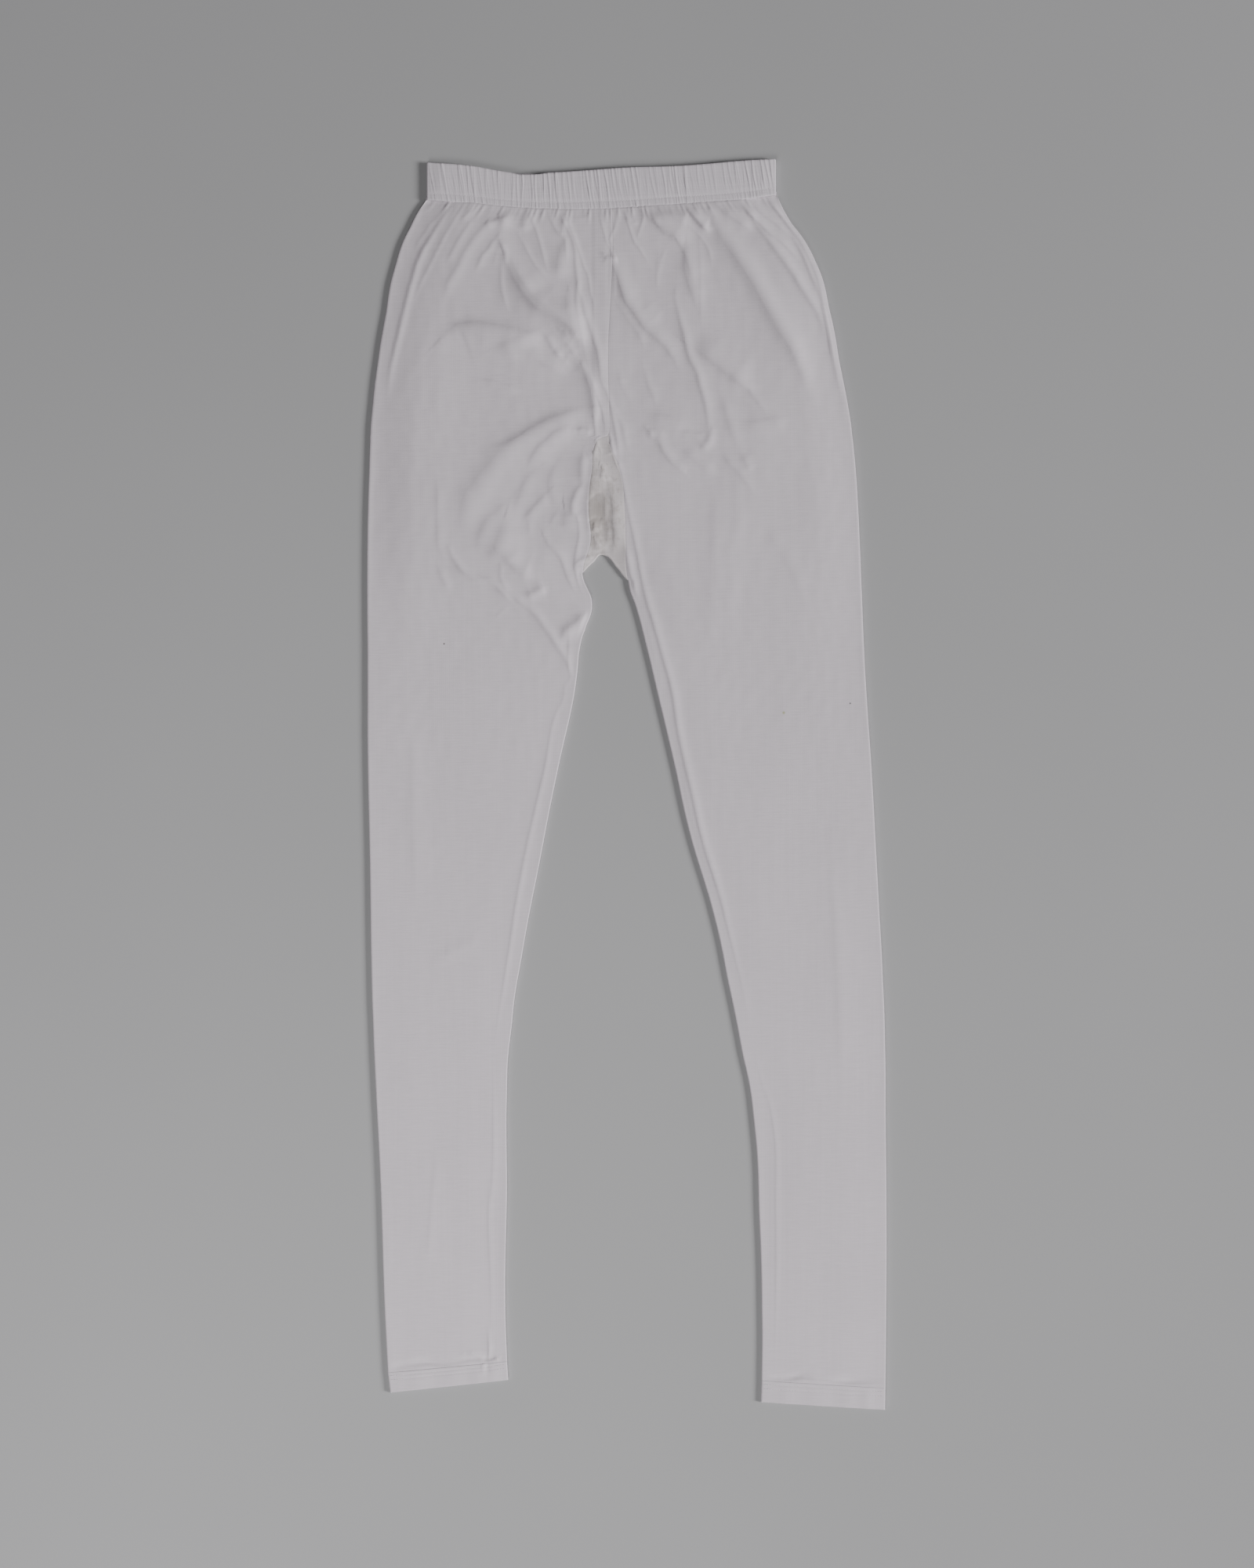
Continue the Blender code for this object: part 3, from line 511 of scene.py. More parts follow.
        (3.5, 216), (7.5, 197), (9.5, 186), (11.5, 175),
        (16, 155), (22, 135), (30, 106), (38, 75), (43, 42), (55, -11), (64, -50), (76, -88), (84, -119),
        (91, -147), (99, -182), (104, -220))),
    Fold(1.6, 3.0, 0.1, 0.0, ((103, -205), (113, -250), (123, -288), (125, -350), (125, -440), (124, -500))),
    Fold(2.6, 3.5, 0.23, 0.2, (
        (-3, 206), (-2, 200), (-0.5, 192), (1, 184), (2.5, 176), (4, 170), (5, 165), (9, 152))),
    # Creases low on the legs, and where the hems pull
    Fold(2.5, -5.0, 0.2, 0.4, ((131, -500), (142, -499), (153, -497), (164, -501), (177, -503), (196, -503))),
    Fold(1.8, 3.5, 0.3, 0.5, ((-136, -480.5), (-130, -481.5), (-124, -484), (-118, -488))),
    Fold(1.6, 2.5, 0.22, 0.4, ((-117.5, -462), (-116.8, -475), (-118, -489))),
    Fold(1.6, -2.5, 0.4, 0.8, ((-119, -488), (-112.8, -484), (-105, -481))),
    Fold(1.8, -4.0, 0.2, 0.0, ((-172, -150), (-158, -144), (-146, -138), (-116, -124))),
    Fold(2.5, 5.0, 0.06, 0.0, ((-160, -300), (-166, -360), (-170, -420))),
    Fold(5.0, 9.0, 0.05, 0.0, ((170, -60), (176, -160), (180, -260))),
    Fold(5.0, 9.0, 0.05, 0.0, ((-180, 60), (-182, -20), (-178, -110))),
    # The gusset, crumpled
    Fold(3.5, 7.0, 0.24, 0.3, ((-16, 252), (-13, 238), (-12, 222), (-11.5, 206), (-14, 190))),
    Fold(5.0, 5.0, 0.12, 0.6, ((-24, 267), (-26, 257), (-27, 241))),
    Fold(2.5, 4.0, 0.24, 0.7, ((-21.5, 265), (-22, 260), (-23, 255))),
    Fold(1.2, -1.5, 0.22, 0.8, ((-20, 260), (-17, 259.5), (-13, 259))),
    Fold(1.4, 1.6, -0.18, 0.5, ((-32, 237), (-28, 241.5), (-22, 245), (-17, 243), (-15, 239))),
    Fold(2.2, 2.4, 0.16, 0.8, ((-19, 238), (-19, 230), (-18.5, 221))),
    Fold(2.0, 2.4, 0.16, 0.6, ((-17, 220), (-16.5, 212), (-18.5, 197))),
    Fold(1.4, 1.6, -0.3, 0.7, ((-30, 222), (-27, 223.5), (-24, 223.5), (-20, 222))),
    Fold(2.2, 2.4, 0.4, 0.9, ((-28, 218), (-28.3, 215), (-28, 212))),
    Fold(1.2, -1.6, 0.28, 0.8, ((-26, 217), (-24, 217), (-21, 217))),
    Fold(1.5, 2.0, 0.17, 0.6, ((-30, 210), (-27, 205), (-20, 199))),
    Fold(1.5, 2.0, 0.17, 0.6, ((-25, 211), (-22, 205.5), (-18, 199))),
    Fold(3.5, 5.0, 0.2, 0.8, ((-27, 205), (-26, 200), (-25, 195))),
)

# The same on the back, which lies on the floor, so that its folds only lift off it a little
BACK_FOLDS = (
    Fold(3.0, 6.0, 0.3, 1.0, ((-140, 486), (-152, 440), (-170, 400))),
    Fold(2.5, 5.0, 0.3, 1.0, ((-96, 484), (-104, 450), (-118, 425))),
    Fold(3.5, 7.0, 0.3, 1.0, ((-60, 484), (-56, 440), (-46, 395), (-40, 370))),
    Fold(2.5, 4.0, 0.3, 1.0, ((-30, 484), (-27, 440), (-26, 410))),
    Fold(3.0, 6.0, 0.3, 1.0, ((22, 484), (30, 445), (46, 400))),
    Fold(3.0, 7.0, 0.3, 1.0, ((62, 488), (84, 440), (108, 395), (122, 350))),
    Fold(2.5, 5.0, 0.3, 1.0, ((98, 490), (122, 455), (142, 420))),
    Fold(4.0, 8.0, 0.25, 0.0, ((-50, 300), (-90, 270), (-130, 220))),
    Fold(4.0, 8.0, 0.22, 0.0, ((-48, 200), (-90, 160), (-140, 130))),
    Fold(4.0, 8.0, 0.25, 0.0, ((20, 300), (60, 262), (110, 230))),
    Fold(3.5, 7.0, 0.25, 0.0, ((22, 180), (52, 140), (96, 118))),
    Fold(4.0, 7.0, 0.18, 0.0, ((-120, 20), (-150, -60), (-150, -150))),
    Fold(4.0, 7.0, 0.18, 0.0, ((120, -40), (150, -140), (150, -240))),
)

# Small gathers under the waistband, between the larger folds. Over the hips they lean outwards
SMALL_GATHERS = 78
SMALL_GATHER_RISE = 0.36
SMALL_GATHER_REACH = 14.0
SMALL_GATHER_WIDTH = 0.8
SMALL_GATHER_SPREAD = 0.1
SMALL_GATHER_MARGIN = 4.0
SMALL_GATHER_AT_SEAM = 0.4
SMALL_GATHER_FREE_BELOW = 4.0
HIP_FLARE = 0.62
HIP_CENTRE_X = -20.0
HIP_HALF_WIDTH = 100.0

# The allowance of the centre-front seam, sewn over with stitches that show as small steps
ALLOWANCE_X = -22.6
ALLOWANCE_HALF_WIDTH = 6.0
ALLOWANCE_BOTTOM = 328.0
ALLOWANCE_BOTTOM_FADE = 12.0
ALLOWANCE_TOP = 483.0
ALLOWANCE_TOP_FADE = 6.0
ALLOWANCE_RISE = 0.3
ALLOWANCE_TICK = 0.07
ALLOWANCE_PITCH = 3.4

# Where two panels meet, each stops just short of the seam, and its edge goes on a little under the other
SEAM_HALF_GAP = 0.05
SEAM_ALLOWANCE = 1.2
SEAM_ALLOWANCE_DROP = 0.5

# Near its top a leg bends with the waist seam, and it goes on a little way up under the waistband
WAIST_BEND = 60.0
WAIST_TUCK = 3.0
WAIST_TUCK_DROP = 0.6

# At its other end its front comes to the hem's height, and sinks in a wavy trough just above the hem
HEM_JOIN = 3.05
HEM_JOIN_REACH = 2.6
HEM_EDGE_REACH = 14.0
HEM_TROUGH = 1.5
HEM_TROUGH_AT = 4.2
HEM_TROUGH_SWAY = 1.4
HEM_TROUGH_FLANKS = (1.8, 4.5)


def uneven(index, turn=0.0):
    """A value from -1 to 1 that differs from one gather to the next, the same at each run.

    The number in front of each call says how far a gather's measure strays from the usual one.
    """
    return 2.0 * ((index * index * GOLDEN + turn) % 1.0) - 1.0


def fade(distance, reach):
    """0 at no distance, 1 from `reach` on, smooth between."""
    part = np.clip(distance / reach, 0.0, 1.0)
    return part * part * (3.0 - 2.0 * part)


def spline(table, at):
    """Rows of a smooth curve through a table's rows, at places `at` (0 = first row, 1 = second ...)."""
    rows = np.array(table, dtype=float)
    at = np.atleast_1d(np.asarray(at, dtype=float))
    first = np.clip(np.floor(at).astype(int), 0, len(rows) - 2)
    part = (at - first)[:, None]
    slopes = np.gradient(rows, axis=0)
    start = rows[first] + part * slopes[first]
    end = rows[first + 1] + (part - 1.0) * slopes[first + 1]
    blend = part * part * (3.0 - 2.0 * part)
    return start * (1.0 - blend) + end * blend


def waist_seam_at(x):
    """How far up the waist seam is at one place across the garment."""
    stations = [station.x for station in WAIST_SEAM]
    places = np.interp(np.ravel(x), stations, np.arange(len(WAIST_SEAM)))
    return spline(WAIST_SEAM, places)[:, 1].reshape(np.shape(x))


def smooth_path(path, step=2.5):
    """Points about `step` apart along a smooth curve through a path's points."""
    path = np.array(path, dtype=float)
    length = np.hypot(*np.diff(path, axis=0).T).sum()
    count = max(int(length / step), 4)
    return spline(path, np.linspace(0.0, len(path) - 1.0, count + 1))


def beside_path(x, y, curve):
    """Signed distance from a curve (above zero on its left hand) and the part of its length gone."""
    start, run = curve[:-1], np.diff(curve, axis=0)
    length = np.hypot(run[:, 0], run[:, 1])
    from_x = x[:, None] - start[:, 0]
    from_y = y[:, None] - start[:, 1]
    part = (from_x * run[:, 0] + from_y * run[:, 1]) / length**2
    part = np.clip(part, 0.0, 1.0)
    away_x = from_x - part * run[:, 0]
    away_y = from_y - part * run[:, 1]
    away = np.hypot(away_x, away_y)
    side = np.where(run[:, 0] * from_y - run[:, 1] * from_x < 0.0, -1.0, 1.0)
    near = np.exp((away.min(axis=1, keepdims=True) - away) / PATH_SOFTNESS)
    near = near / near.sum(axis=1, keepdims=True)
    gone = np.concatenate([[0.0], np.cumsum(length)])[:-1]
    along = (near * (gone + part * length)).sum(axis=1) / length.sum()
    return (near * side * away).sum(axis=1), along


def folds_at(x, y, folds):
    """The height that all folds together add at points of the cloth."""
    height = np.zeros(np.shape(x))
    for fold in folds:
        curve = smooth_path(fold.path)
        # Further away than this, a fold adds next to nothing
        reach = 5.0 * fold.width + 3.0 * abs(fold.lobe) + 2.0
        near = (x > curve[:, 0].min() - reach) & (x < curve[:, 0].max() + reach)
        near &= (y > curve[:, 1].min() - reach) & (y < curve[:, 1].max() + reach)
        if not near.any():
            continue
        beside, along = beside_path(x[near], y[near], curve)
        swell = fold.head + (1.0 - fold.head) * fade(along, FOLD_RISES_OVER)
        swell = swell * fade(1.0 - along, FOLD_DIES_OVER)
        narrow = FOLD_NARROWEST + FOLD_WIDENING * swell
        width, lobe = FLANK_SPREAD * fold.width * narrow, LOBE_SPREAD * abs(fold.lobe) * narrow
        aside = beside * math.copysign(1.0, fold.lobe)
        toe = np.tanh(FLANK_SHARPNESS * (aside / width + TOE_SHIFT) / TOE_SPREAD)
        climb = (1.0 - TOE_SHARE) * np.tanh(FLANK_SHARPNESS * aside / width) + TOE_SHARE * toe
        descent = np.tanh(FLANK_SHARPNESS * (aside - CREST_SHIFT * (width + lobe)) / lobe)
        height[near] += FOLD_RELIEF * fold.steep * width * swell * (climb - descent) / FLANK_SHARPNESS
    return height


def small_gathers_at(x, y, count, turn=0.0):
    """Ripples that run down from the waist seam and fan out over the hips."""
    below = np.maximum(waist_seam_at(x) - y, 0.0)
    height = np.zeros(np.shape(x))
    left = WAIST_SEAM[0].x + SMALL_GATHER_MARGIN
    right = WAIST_SEAM[-1].x - SMALL_GATHER_MARGIN
    for index in range(count):
        top = left + (right - left) * (index + 0.5 + 0.8 * uneven(index, 0.4 + turn)) / count
        lean = HIP_FLARE * min(max((top - HIP_CENTRE_X) / HIP_HALF_WIDTH, -1.0), 1.0)
        away = x - top - lean * below
        width = SMALL_GATHER_WIDTH + SMALL_GATHER_SPREAD * below
        rise = SMALL_GATHER_RISE * (1.0 + 0.8 * uneven(index, turn))
        reach = SMALL_GATHER_REACH * (1.0 + 0.7 * uneven(index, 0.7 + turn))
        height += rise * (1.0 - fade(below, reach)) * np.exp(-((away / width) ** 2))
    free = fade(below, SMALL_GATHER_FREE_BELOW)
    return height * (SMALL_GATHER_AT_SEAM + (1.0 - SMALL_GATHER_AT_SEAM) * free)


def unrest(x, y):
    """Cloth never lies quite level: long low waves, higher over the thighs than at the ankles.

    The lengths of the waves, in millimetres, are unlike each other, so that no pattern shows.
    """
    waves = np.sin(x / 19.0 + 1.7 * np.sin(y / 83.0)) * np.sin(y / 47.0 + 1.1 * np.sin(x / 31.0))
    waves += 0.7 * np.sin(x / 11.0 - y / 71.0 + 2.0)
    fine = np.sin(x / 2.3 + 2.4 * np.sin(y / 23.0) + 1.3 * np.sin(x / 13.0)) * np.sin(y / 9.0 + x / 17.0)
    fine += 0.8 * np.sin(x / 3.7 - y / 8.3 + 1.9 * np.sin(y / 31.0)) * np.sin(y / 15.0 - x / 11.0)
    share = LOWER_LEG_SHARE + (1.0 - LOWER_LEG_SHARE) * fade(y - LOWER_LEG_Y, LOWER_LEG_RUN)
    return (LONG_WAVES * waves + FINE_WAVES * fine) * share


def allowance_under(x, y):
    """The centre-front seam's allowance, a strip beside the seam that its sewing shows through."""
    strip = np.exp(-(((x - ALLOWANCE_X) / ALLOWANCE_HALF_WIDTH) ** 6))
    strip = strip * fade(y - ALLOWANCE_BOTTOM, ALLOWANCE_BOTTOM_FADE)
    strip = strip * fade(ALLOWANCE_TOP - y, ALLOWANCE_TOP_FADE)
    return strip * (ALLOWANCE_RISE + ALLOWANCE_TICK * np.sin(2.0 * math.pi * y / ALLOWANCE_PITCH))


def front_height(x, y, from_outer, from_inner):
    """Height of the front's outer face. The last two are distances from folded edges of the cloth."""
    inside = fade(from_outer, EDGE_FADE) * fade(from_inner, EDGE_FADE)
    rounded = fade(from_outer, PUFF_FADE) * fade(from_inner, PUFF_FADE)
    puff = (LEG_CROWN + BODY_PUFF * fade(y - BODY_PUFF_FROM, BODY_PUFF_RUN)) * rounded
    below = np.maximum(waist_seam_at(x) - y, 0.0)
    form = folds_at(x, y, FOLDS) * (HELD_AT_SEAM + (1.0 - HELD_AT_SEAM) * fade(below, HELD_REACH))
    form = form + small_gathers_at(x, y, SMALL_GATHERS) + unrest(x, y) + allowance_under(x, y)
    form = FORM_LIMIT * np.tanh(form / FORM_LIMIT)
    height = np.maximum(LOFT + puff + inside * form, LOWEST)
    height = height - WAIST_DIP * np.exp(-((below / WAIST_DIP_WIDTH) ** 2))
    return height - WAIST_CREASE * np.exp(-((below / WAIST_CREASE_WIDTH) ** 2))


def back_height(x, y, from_edge):
    """Height of the back's outer face above the floor: mostly none."""
    folds = folds_at(x, y, BACK_FOLDS) + BACK_GATHER_SHARE * small_gathers_at(x, y, SMALL_GATHERS, 0.2)
    return np.clip(folds, 0.0, HIGHEST_BACK_FOLD) * fade(from_edge, EDGE_FADE)


def cloth_object(name, rows, material, wall=None, ring_from=None, flip=False):
    """Object of cloth, as a skin whose rows run down the garment, with a wall inside it where one is given.

    Rows from `ring_from` on are rings. The others are open at both ends.
    """
    points, faces, starts = [], [], []
    for row in rows:
        starts.append(len(points))
        points.extend((x * MM, y * MM, z * MM) for x, y, z in row)
    for index in range(len(rows) - 1):
        upper, lower = starts[index], starts[index + 1]
        around = len(rows[index])
        ring = ring_from is not None and index >= ring_from
        across = around if ring else min(around, len(rows[index + 1])) - 1
        for column in range(across):
            after = (column + 1) % around
            corners = (upper + column, lower + column, lower + after, upper + after)
            faces.append(corners[::-1] if flip else corners)
    mesh = bpy.data.meshes.new(name)
    mesh.from_pydata(points, [], faces)
    mesh.shade_smooth()
    mesh.materials.append(material)
    piece = bpy.data.objects.new(name, mesh)
    bpy.context.scene.collection.objects.link(piece)
    if wall:
        thickness = piece.modifiers.new("thickness", "SOLIDIFY")
        thickness.thickness = wall * MM
        thickness.offset = -1.0
    return piece


def edge_points(edge_x, edge_y, inward_x, inward_y, height):
    """Points round a folded edge, from under the cloth to its top."""
    radius = height / 2.0
    turns = np.radians(EDGE_ANGLES)
    across = EDGE_ROUND * radius * (1.0 - np.cos(turns))
    return np.stack([
        edge_x + inward_x * across,
        edge_y + inward_y * across,
        radius * (1.0 + np.sin(turns)),
    ], axis=1)


def row_places(leg):
    """Places along a leg's stations where its rows lie, and how many rows come before the crotch."""
    places = []
    for stretch in STRETCHES:
        fine = np.linspace(stretch.first, stretch.last, ROW_SAMPLES)
        height = spline(leg.stations, fine)[:, 1]
        length = abs(height[-1] - height[0])
        rows = int(round(2.0 * length / (stretch.step + stretch.last_step)))
        ease = 2.0 * stretch.step / (stretch.step + stretch.last_step)
        part = np.linspace(0.0, 1.0, rows + 1)[:-1]
        down = length * (ease * part + (1.0 - ease) * part**2)
        places.append(np.interp(down, height[0] - height, fine))
    places.append([STRETCHES[-1].last])
    return np.concatenate(places), len(places[0])


def hem_trough_at(x, above_hem):
    """How far the front sinks in the trough above the hem, which wavers and is steeper below."""
    away = above_hem - HEM_TROUGH_AT - HEM_TROUGH_SWAY * np.sin(x / 11.0 + 1.5 * np.sin(x / 23.0))
    away = away / np.where(away < 0.0, *HEM_TROUGH_FLANKS)
    return HEM_TROUGH * (0.7 + 0.3 * np.sin(x / 7.0)) * np.exp(-(away**2))


def make_leg(leg, material):
    """A leg's back, outer fold and front, row by row, closed along the inner edge from the crotch down."""
    places, closed_from = row_places(leg)
    ends = spline(leg.stations, places)
    outer, inner = ends[:, :2], ends[:, 2:]
    width = np.hypot(*(inner - outer).T)
    inward = (inner - outer) / width[:, None]
    radius = EDGE_ROUND * LOFT / 2.0
    closed = np.arange(len(places)) >= closed_from
    start = outer + inward * radius
    end = inner - inward * np.where(closed, radius, SEAM_HALF_GAP)[:, None]

    even = np.linspace(0.0, 1.0, LEG_SECTION_COLUMNS)
    front_places = (1.0 + INNER_CROWDING) * even - INNER_CROWDING * even**2
    back_places = np.linspace(1.0, 0.0, LEG_BACK_COLUMNS)

    def spread(columns):
        """Plan of the leg at some places across it, bent near the waist to follow the waist seam."""
        points = start[:, None] + (end - start)[:, None] * columns[None, :, None]
        x, y = points[..., 0], points[..., 1]
        top = leg.stations[0]
        line_x = sorted([top.outer_x, top.inner_x])
        line_y = [top.inner_y, top.outer_y] if leg.outward > 0 else [top.outer_y, top.inner_y]
        level = 1.0 - fade(leg.stations[0].outer_y - outer[:, 1], WAIST_BEND)[:, None]
        return x, y + level * (waist_seam_at(x) - np.interp(x, line_x, line_y))

    x, y = spread(front_places)
    from_outer = front_places[None] * width[:, None]
    from_seam = (1.0 - front_places)[None] * width[:, None]
    above_crotch = np.maximum(y - inner[closed_from, 1], 0.0)
    from_inner = np.where(closed[:, None], from_seam, np.hypot(from_seam, above_crotch))
    z = front_height(x, y, from_outer, from_inner)
    z = z - np.where(closed[:, None], 0.0, SEAM_DIP * np.exp(-((from_seam / SEAM_DIP_WIDTH) ** 2)))
    above_hem = (outer[:, 1] - outer[-1, 1])[:, None]
    edges = fade(from_outer, HEM_EDGE_REACH) * fade(from_seam, HEM_EDGE_REACH)
    z = z - edges * hem_trough_at(x, above_hem)
    join = LOFT + (HEM_JOIN - LOFT) * edges
    z = join + (z - join) * fade(above_hem, HEM_JOIN_REACH)
    front = np.stack([x, y, z], axis=2)

    x, y = spread(back_places)
    from_edge = np.minimum(back_places, 1.0 - back_places)[None] * width[:, None]
    back = np.stack([x, y, back_height(x, y, from_edge)], axis=2)

    rows = []
    for index in range(len(places)):
        edge = outer[index]
        level = 1.0 - fade(leg.stations[0].outer_y - edge[1], WAIST_BEND)
        edge_y = edge[1] + level * (waist_seam_at(edge[0]) - leg.stations[0].outer_y)
        row = [back[index], edge_points(edge[0], edge_y, *inward[index], LOFT), front[index]]
        if closed[index]:
            row.append(edge_points(*inner[index], *-inward[index], LOFT)[::-1])
        else:
            row.append(front[index, -1:] + np.append(inward[index] * SEAM_ALLOWANCE, -SEAM_ALLOWANCE_DROP))
        rows.append(np.concatenate(row))
    tucked = rows[0] * np.array([1.0, 1.0, WAIST_TUCK_DROP]) + np.array([0.0, WAIST_TUCK, 0.0])
    name = leg.name + "_jersey"
    return cloth_object(name, [tucked, *rows], material, ring_from=closed_from + 1, flip=leg.outward > 0)


# Fine jersey: loops about a millimetre wide, uneven yarn that shows as short level streaks, faint
# lines along the cloth, and a soft sheen. Three specks are on it, as in the photograph.
JERSEY_COLOUR = (0.8, 0.745, 0.798, 1.0)
JERSEY_ROUGHNESS = 0.86
# A loop's size, and how much the loops and the yarn stand out, in metres
LOOP_WIDTH = 0.0011
LOOP_HEIGHT = 0.0009
LOOP_DEPTH = 0.00012
YARN_DEPTH = 0.0003
# Grains to the metre, across, along and up: the yarn's streaks, the lines along the cloth, patches of
# uneven tone, and the painted shade in the gusset's crumples
STREAK_GRAIN = (75.0, 850.0, 75.0)
LINE_GRAIN = (420.0, 9.0, 30.0)
PATCH_GRAIN = (11.0, 11.0, 11.0)
PAINTED_SHADE_GRAIN = (300.0, 220.0, 220.0)
SpeckOrShade = namedtuple("SpeckOrShade", "x y radius colour")
SPECKS = (
    SpeckOrShade(-153.9, 118.8, 0.9, (0.09, 0.08, 0.08, 1.0)),
    SpeckOrShade(132.2, 60.7, 1.6, (0.55, 0.56, 0.36, 1.0)),
    SpeckOrShade(188.3, 68.6, 1.0, (0.2, 0.19, 0.2, 1.0)),
)


def loops_height(nodes, links, place):
    """Height of the knitted loops: waves across and along the cloth, multiplied."""
    waves = []
    for axis, size in (("X", LOOP_WIDTH), ("Y", LOOP_HEIGHT)):
        wave = nodes.new("ShaderNodeTexWave")
        wave.wave_type = "BANDS"
        wave.bands_direction = axis
        wave.inputs["Scale"].default_value = math.pi / (10.0 * size)
        wave.inputs["Distortion"].default_value = 1.2
        wave.inputs["Detail"].default_value = 1.0
        wave.inputs["Detail Scale"].default_value = 0.15
        links.new(place, wave.inputs["Vector"])
        waves.append(wave.outputs["Fac"])
    both = nodes.new("ShaderNodeMath")
    both.operation = "MULTIPLY"
    links.new(waves[0], both.inputs[0])
    links.new(waves[1], both.inputs[1])
    return both.outputs["Value"]


def mix_in(nodes, links, colour, factor, low, high, share, other):
    """Colour mixed with another, by up to `share`, as the factor goes from `low` to `high`."""
    near = nodes.new("ShaderNodeMapRange")
    near.inputs["From Min"].default_value = low
    near.inputs["From Max"].default_value = high
    near.inputs["To Max"].default_value = share
    links.new(factor, near.inputs["Value"])
    mix = nodes.new("ShaderNodeMix")
    mix.data_type = "RGBA"
    links.new(near.outputs["Result"], mix.inputs[0])
    links.new(colour, mix.inputs[6])
    mix.inputs[7].default_value = other
    return mix.outputs[2]


def distance_from(nodes, links, place, speck_or_shade, length_share):
    """Distance in plan from a speck, or from the middle of the painted shade, which counts by `length_share`
    along the garment.
    """
    flat = nodes.new("ShaderNodeVectorMath")
    flat.operation = "MULTIPLY"
    flat.inputs[1].default_value = (1.0, length_share, 0.0)
    links.new(place, flat.inputs[0])
    gap = nodes.new("ShaderNodeVectorMath")
    gap.operation = "DISTANCE"
    gap.inputs[1].default_value = (speck_or_shade.x * MM, speck_or_shade.y * MM * length_share, 0.0)
    links.new(flat.outputs["Vector"], gap.inputs[0])
    return gap.outputs["Value"]


def make_jersey(name, base, specks=(), painted_shade=None):
    """Jersey of one colour, with small specks, or one large uneven patch of painted shade, where they are
    given.
    """
    material, shader, nodes, links, place = new_material(name, base, JERSEY_ROUGHNESS)
    shader.inputs["Sheen Weight"].default_value = 0.18
    shader.inputs["Sheen Roughness"].default_value = 0.45
    shader.inputs["Specular IOR Level"].default_value = 0.25
    streaks = add_noise(nodes, links, place, STREAK_GRAIN, 2.0)
    lines = add_noise(nodes, links, place, LINE_GRAIN, 2.0)
    patches = add_noise(nodes, links, place, PATCH_GRAIN, 2.0)
    colour = tint(nodes, links, plain_colour(nodes, base), streaks, 0.975, 1.02)
    colour = tint(nodes, links, colour, lines, 0.985, 1.012)
    colour = tint(nodes, links, colour, patches, 0.98, 1.015)
    for speck_or_shade in specks:
        gap = distance_from(nodes, links, place, speck_or_shade, 1.0)
        radius = speck_or_shade.radius * MM
        colour = mix_in(nodes, links, colour, gap, radius, 0.35 * radius, 1.0, speck_or_shade.colour)
    # Painted shade: a patch of darker colour, broken up by noise, where the crumpled cloth lies in shade
    if painted_shade:
        gap = distance_from(nodes, links, place, painted_shade, 0.5)
        shade_breakup = add_noise(nodes, links, place, PAINTED_SHADE_GRAIN, 2.0)
        uneven_gap = nodes.new("ShaderNodeMath")
        uneven_gap.operation = "MULTIPLY"
        links.new(gap, uneven_gap.inputs[0])
        links.new(shade_breakup, uneven_gap.inputs[1])
        gap = uneven_gap.outputs["Value"]
        radius = painted_shade.radius * MM
        colour = mix_in(nodes, links, colour, gap, 0.5 * radius, 0.1 * radius, 0.75, painted_shade.colour)
    links.new(colour, shader.inputs["Base Color"])
    loops = loops_height(nodes, links, place)
    bump = nodes.new("ShaderNodeBump")
    bump.inputs["Strength"].default_value = 0.35
    bump.inputs["Distance"].default_value = LOOP_DEPTH
    links.new(loops, bump.inputs["Height"])
    yarn = nodes.new("ShaderNodeBump")
    yarn.inputs["Strength"].default_value = 0.4
    yarn.inputs["Distance"].default_value = YARN_DEPTH
    links.new(streaks, yarn.inputs["Height"])
    links.new(bump.outputs["Normal"], yarn.inputs["Normal"])
    links.new(yarn.outputs["Normal"], shader.inputs["Normal"])
    return material


jersey = make_jersey("jersey knit", JERSEY_COLOUR, SPECKS)
for leg in (RIGHT_LEG, LEFT_LEG):
    piece = make_leg(leg, jersey)
    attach(piece, "root")
    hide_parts(leg.name)

# The gusset: a diamond of the same jersey, a little warmer in tone, set between the legs at the crotch
# and folded across its middle. It has crumpled between the seams.
GUSSET_COLOUR = (0.765, 0.715, 0.725, 1.0)
# Painted shade: a darker, uneven patch of colour that stands in for the shade where the cloth is crumpled
# most
GUSSET_PAINTED_SHADE = SpeckOrShade(-26.5, 227.0, 20.0, (0.44, 0.4, 0.37, 1.0))
GUSSET_ROWS = 150
GUSSET_COLUMNS = 48
GUSSET_BACK_ROWS = 30
# The stations of the legs that it runs between. It has no folded edge at its sides, and its seams pull
# it down less this near its lower edge
GUSSET_STATIONS = (6, CROTCH_STATION)
NO_EDGE_NEAR = 99.0
GUSSET_SEAM_FADE = 4.0
# The folded edge under the crotch, from the right leg to the left
CROTCH_EDGE = (
    (-36.4, 179.5),
    (-28.0, 187.8),
    (-19.2, 193.4),
    (-9.0, 183.8),
    (-3.8, 177.2),
    (0.3, 172.6),
)


